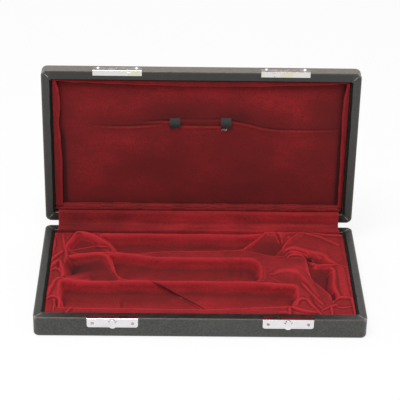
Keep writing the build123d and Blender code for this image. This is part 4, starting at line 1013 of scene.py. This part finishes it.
def join_tubes(name, tubes, material, body, tones=None):
    """One object from several tubes, with a tone for each if given."""
    faces, first = [], 0
    for rings in tubes:
        rows, cols = rings.shape[:2]
        ids = first + np.arange(rows * cols).reshape(rows, cols)
        faces += grid_faces(ids, True) + [ids[0, ::-1].tolist(), ids[-1].tolist()]
        first += rows * cols
    values = {"tone": np.repeat(tones, [rings.size // 3 for rings in tubes])} if tones else {}
    points = np.concatenate([rings.reshape(-1, 3) for rings in tubes])
    return mesh_piece(name, points, faces, material, body, **values)


# Hinge strip: its route over both rims as y and z, half its width, and its cells that way
HINGE_ROUTE = [
    (76, 13), (76.1, 18.5), (76.5, 21.2), (77.6, 22.2), (80.5, 22.1), (84.5, 21.9), (87.3, 23.1),
    (88.4, 26), (88.9, 30), (89.3, 33.6), (89.9, 35.2), (91.6, 35.9), (95, 36),
]
HINGE_STRIP_HALF = 146.6
HINGE_STRIP_CELL = 1.1


def make_hinge_strip():
    """Cloth strip from inside the base over its rim and up the lid's rim, bending at the hinge line."""
    line = curve_through(HINGE_ROUTE, 0.6)
    x = np.arange(-HINGE_STRIP_HALF, HINGE_STRIP_HALF + 0.1, HINGE_STRIP_CELL)
    s, xx = np.meshgrid(np.linspace(0, 1, len(line)), x)
    sag = waves(xx, s * 60, 55, 0.14, 41) + waves(xx * 0.4, s * 60, 13, 0.1, 42)
    lip = sag * np.sin(pi * s) ** 0.6
    along = np.gradient(line, axis=0)
    normal = np.stack([-along[:, 1], along[:, 0]]) / np.linalg.norm(along, axis=1)
    y, z = line.T[:, None] + normal[:, None] * np.maximum(lip, -0.05)
    end = smooth((HINGE_STRIP_HALF - np.abs(xx)) / 1.6)
    # painted light and shade: paler higher up, on its bulges and at its ends; darker towards the left and a
    # little towards the right, with a line of painted shade where it turns over the lid's rim
    shade = 0.16 + 0.06 * smooth((z - 24) / 5) + 0.5 * lip - 0.2 * smooth((-20 - xx) / 90)
    shade += 0.25 * (1 - end) - 0.1 * bell((z - 35.4) / 0.5) - 0.06 * smooth((xx - 60) / 60)
    strip = grid_piece("hinge_strip_cloth", np.stack([xx, y, z], -1), "velvet", shade=shade)
    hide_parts("hinge_strip")
    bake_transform(strip)


PLEAT_RADIUS = 0.7
PLEAT_SUNK = 0.56  # centre of a pleat below its rim, so that the rims clear each other when shut
PLEAT_LINE = [(150.6, 77.1), (153.2, 79.5), (156.0, 82.4), (158.2, 84.6)]  # from an inner to an outer corner


def make_corner_pleats():
    """Raised pleats where the covering is folded at the corners of both rims."""
    lines = {"base": [], "lid": []}
    for sx, sy in ((-1, -1), (-1, 1), (1, -1), (1, 1)):
        corner = [(sx * x, sy * y) for x, y in PLEAT_LINE]
        lines["base"].append([(x, y, BASE_RIM_Z - PLEAT_SUNK) for x, y in corner])
        lines["lid"].append([(x, LID_RIM_Y + PLEAT_SUNK, LID_MIDDLE_Z + y) for x, y in corner])
    for name, points in lines.items():
        tubes = [tube(curve_through(p, 0.4), PLEAT_RADIUS) for p in points]
        join_tubes(name + "_corner_pleats", tubes, "worn_leatherette", name)


RIM_EDGE_R = 0.9
RIM_SHADE_W = {"base": 3.0, "lid": 2.2}  # width of the band of painted shade along a rim's inner edge
RIM_SHADE_UP = 0.03  # how far it stands off the rim


def make_rim_shades():
    """Bands of painted shade on the covering's turned-in edge along both sides of each mouth."""
    turn = np.linspace(0.15, pi / 2, 6)
    radius = RIM_EDGE_R + RIM_SHADE_UP
    for hand, side in (("left", -1), ("right", 1)):
        for body, low, high in (("base", -INNER_Y, INNER_Y), ("lid", LID_BOTTOM_Z, LID_UPPER_Z)):
            along = np.linspace(low + 0.3, high - 0.3, 90)
            width = RIM_SHADE_W[body] + waves(along, along * 0, 30, 0.2, 61)
            out = [0 * along + RIM_EDGE_R - radius * cos(t) for t in turn]
            out += [width * 0.6, width * 0.9, width]
            x = side * (INNER_X + np.stack(out, -1))
            up = [radius * sin(t) - RIM_EDGE_R for t in turn]
            up = 0 * x + (up + [RIM_SHADE_UP, RIM_SHADE_UP, -RIM_SHADE_UP])
            far = along[:, None] + 0 * x
            points = [x, far, BASE_RIM_Z + up] if body == "base" else [x, LID_RIM_Y - up, far]
            band = grid_piece(body + "_rim_shade_" + hand, np.stack(points, -1), "shaded_leatherette", body)


def dress_cad_nodes():
    """Gives each CAD node its slot's material; the catches are duller and the rivets carry a painted brown
    reflection.
    """
    for part in frame["record"]["subparts"]:
        node = frame["nodes"][part["node"]]
        node.data.materials.clear()
        look = part["material_slot"]
        if part["node"].startswith(("catch_plate", "latch_hook")):
            look = "dull_nickel"
        elif part["node"].startswith("latch_rivets"):
            look = "rivet_metal"
        node.data.materials.append(MATERIALS[look])


make_camera()
make_world()
make_floor()
make_lamp()
dress_cad_nodes()
make_lining()
make_pad()
make_lid_strips()
make_loops()
make_frayed_threads()
make_hinge_strip()
make_corner_pleats()
make_rim_shades()

bpy.context.scene.view_settings.view_transform = "Standard"
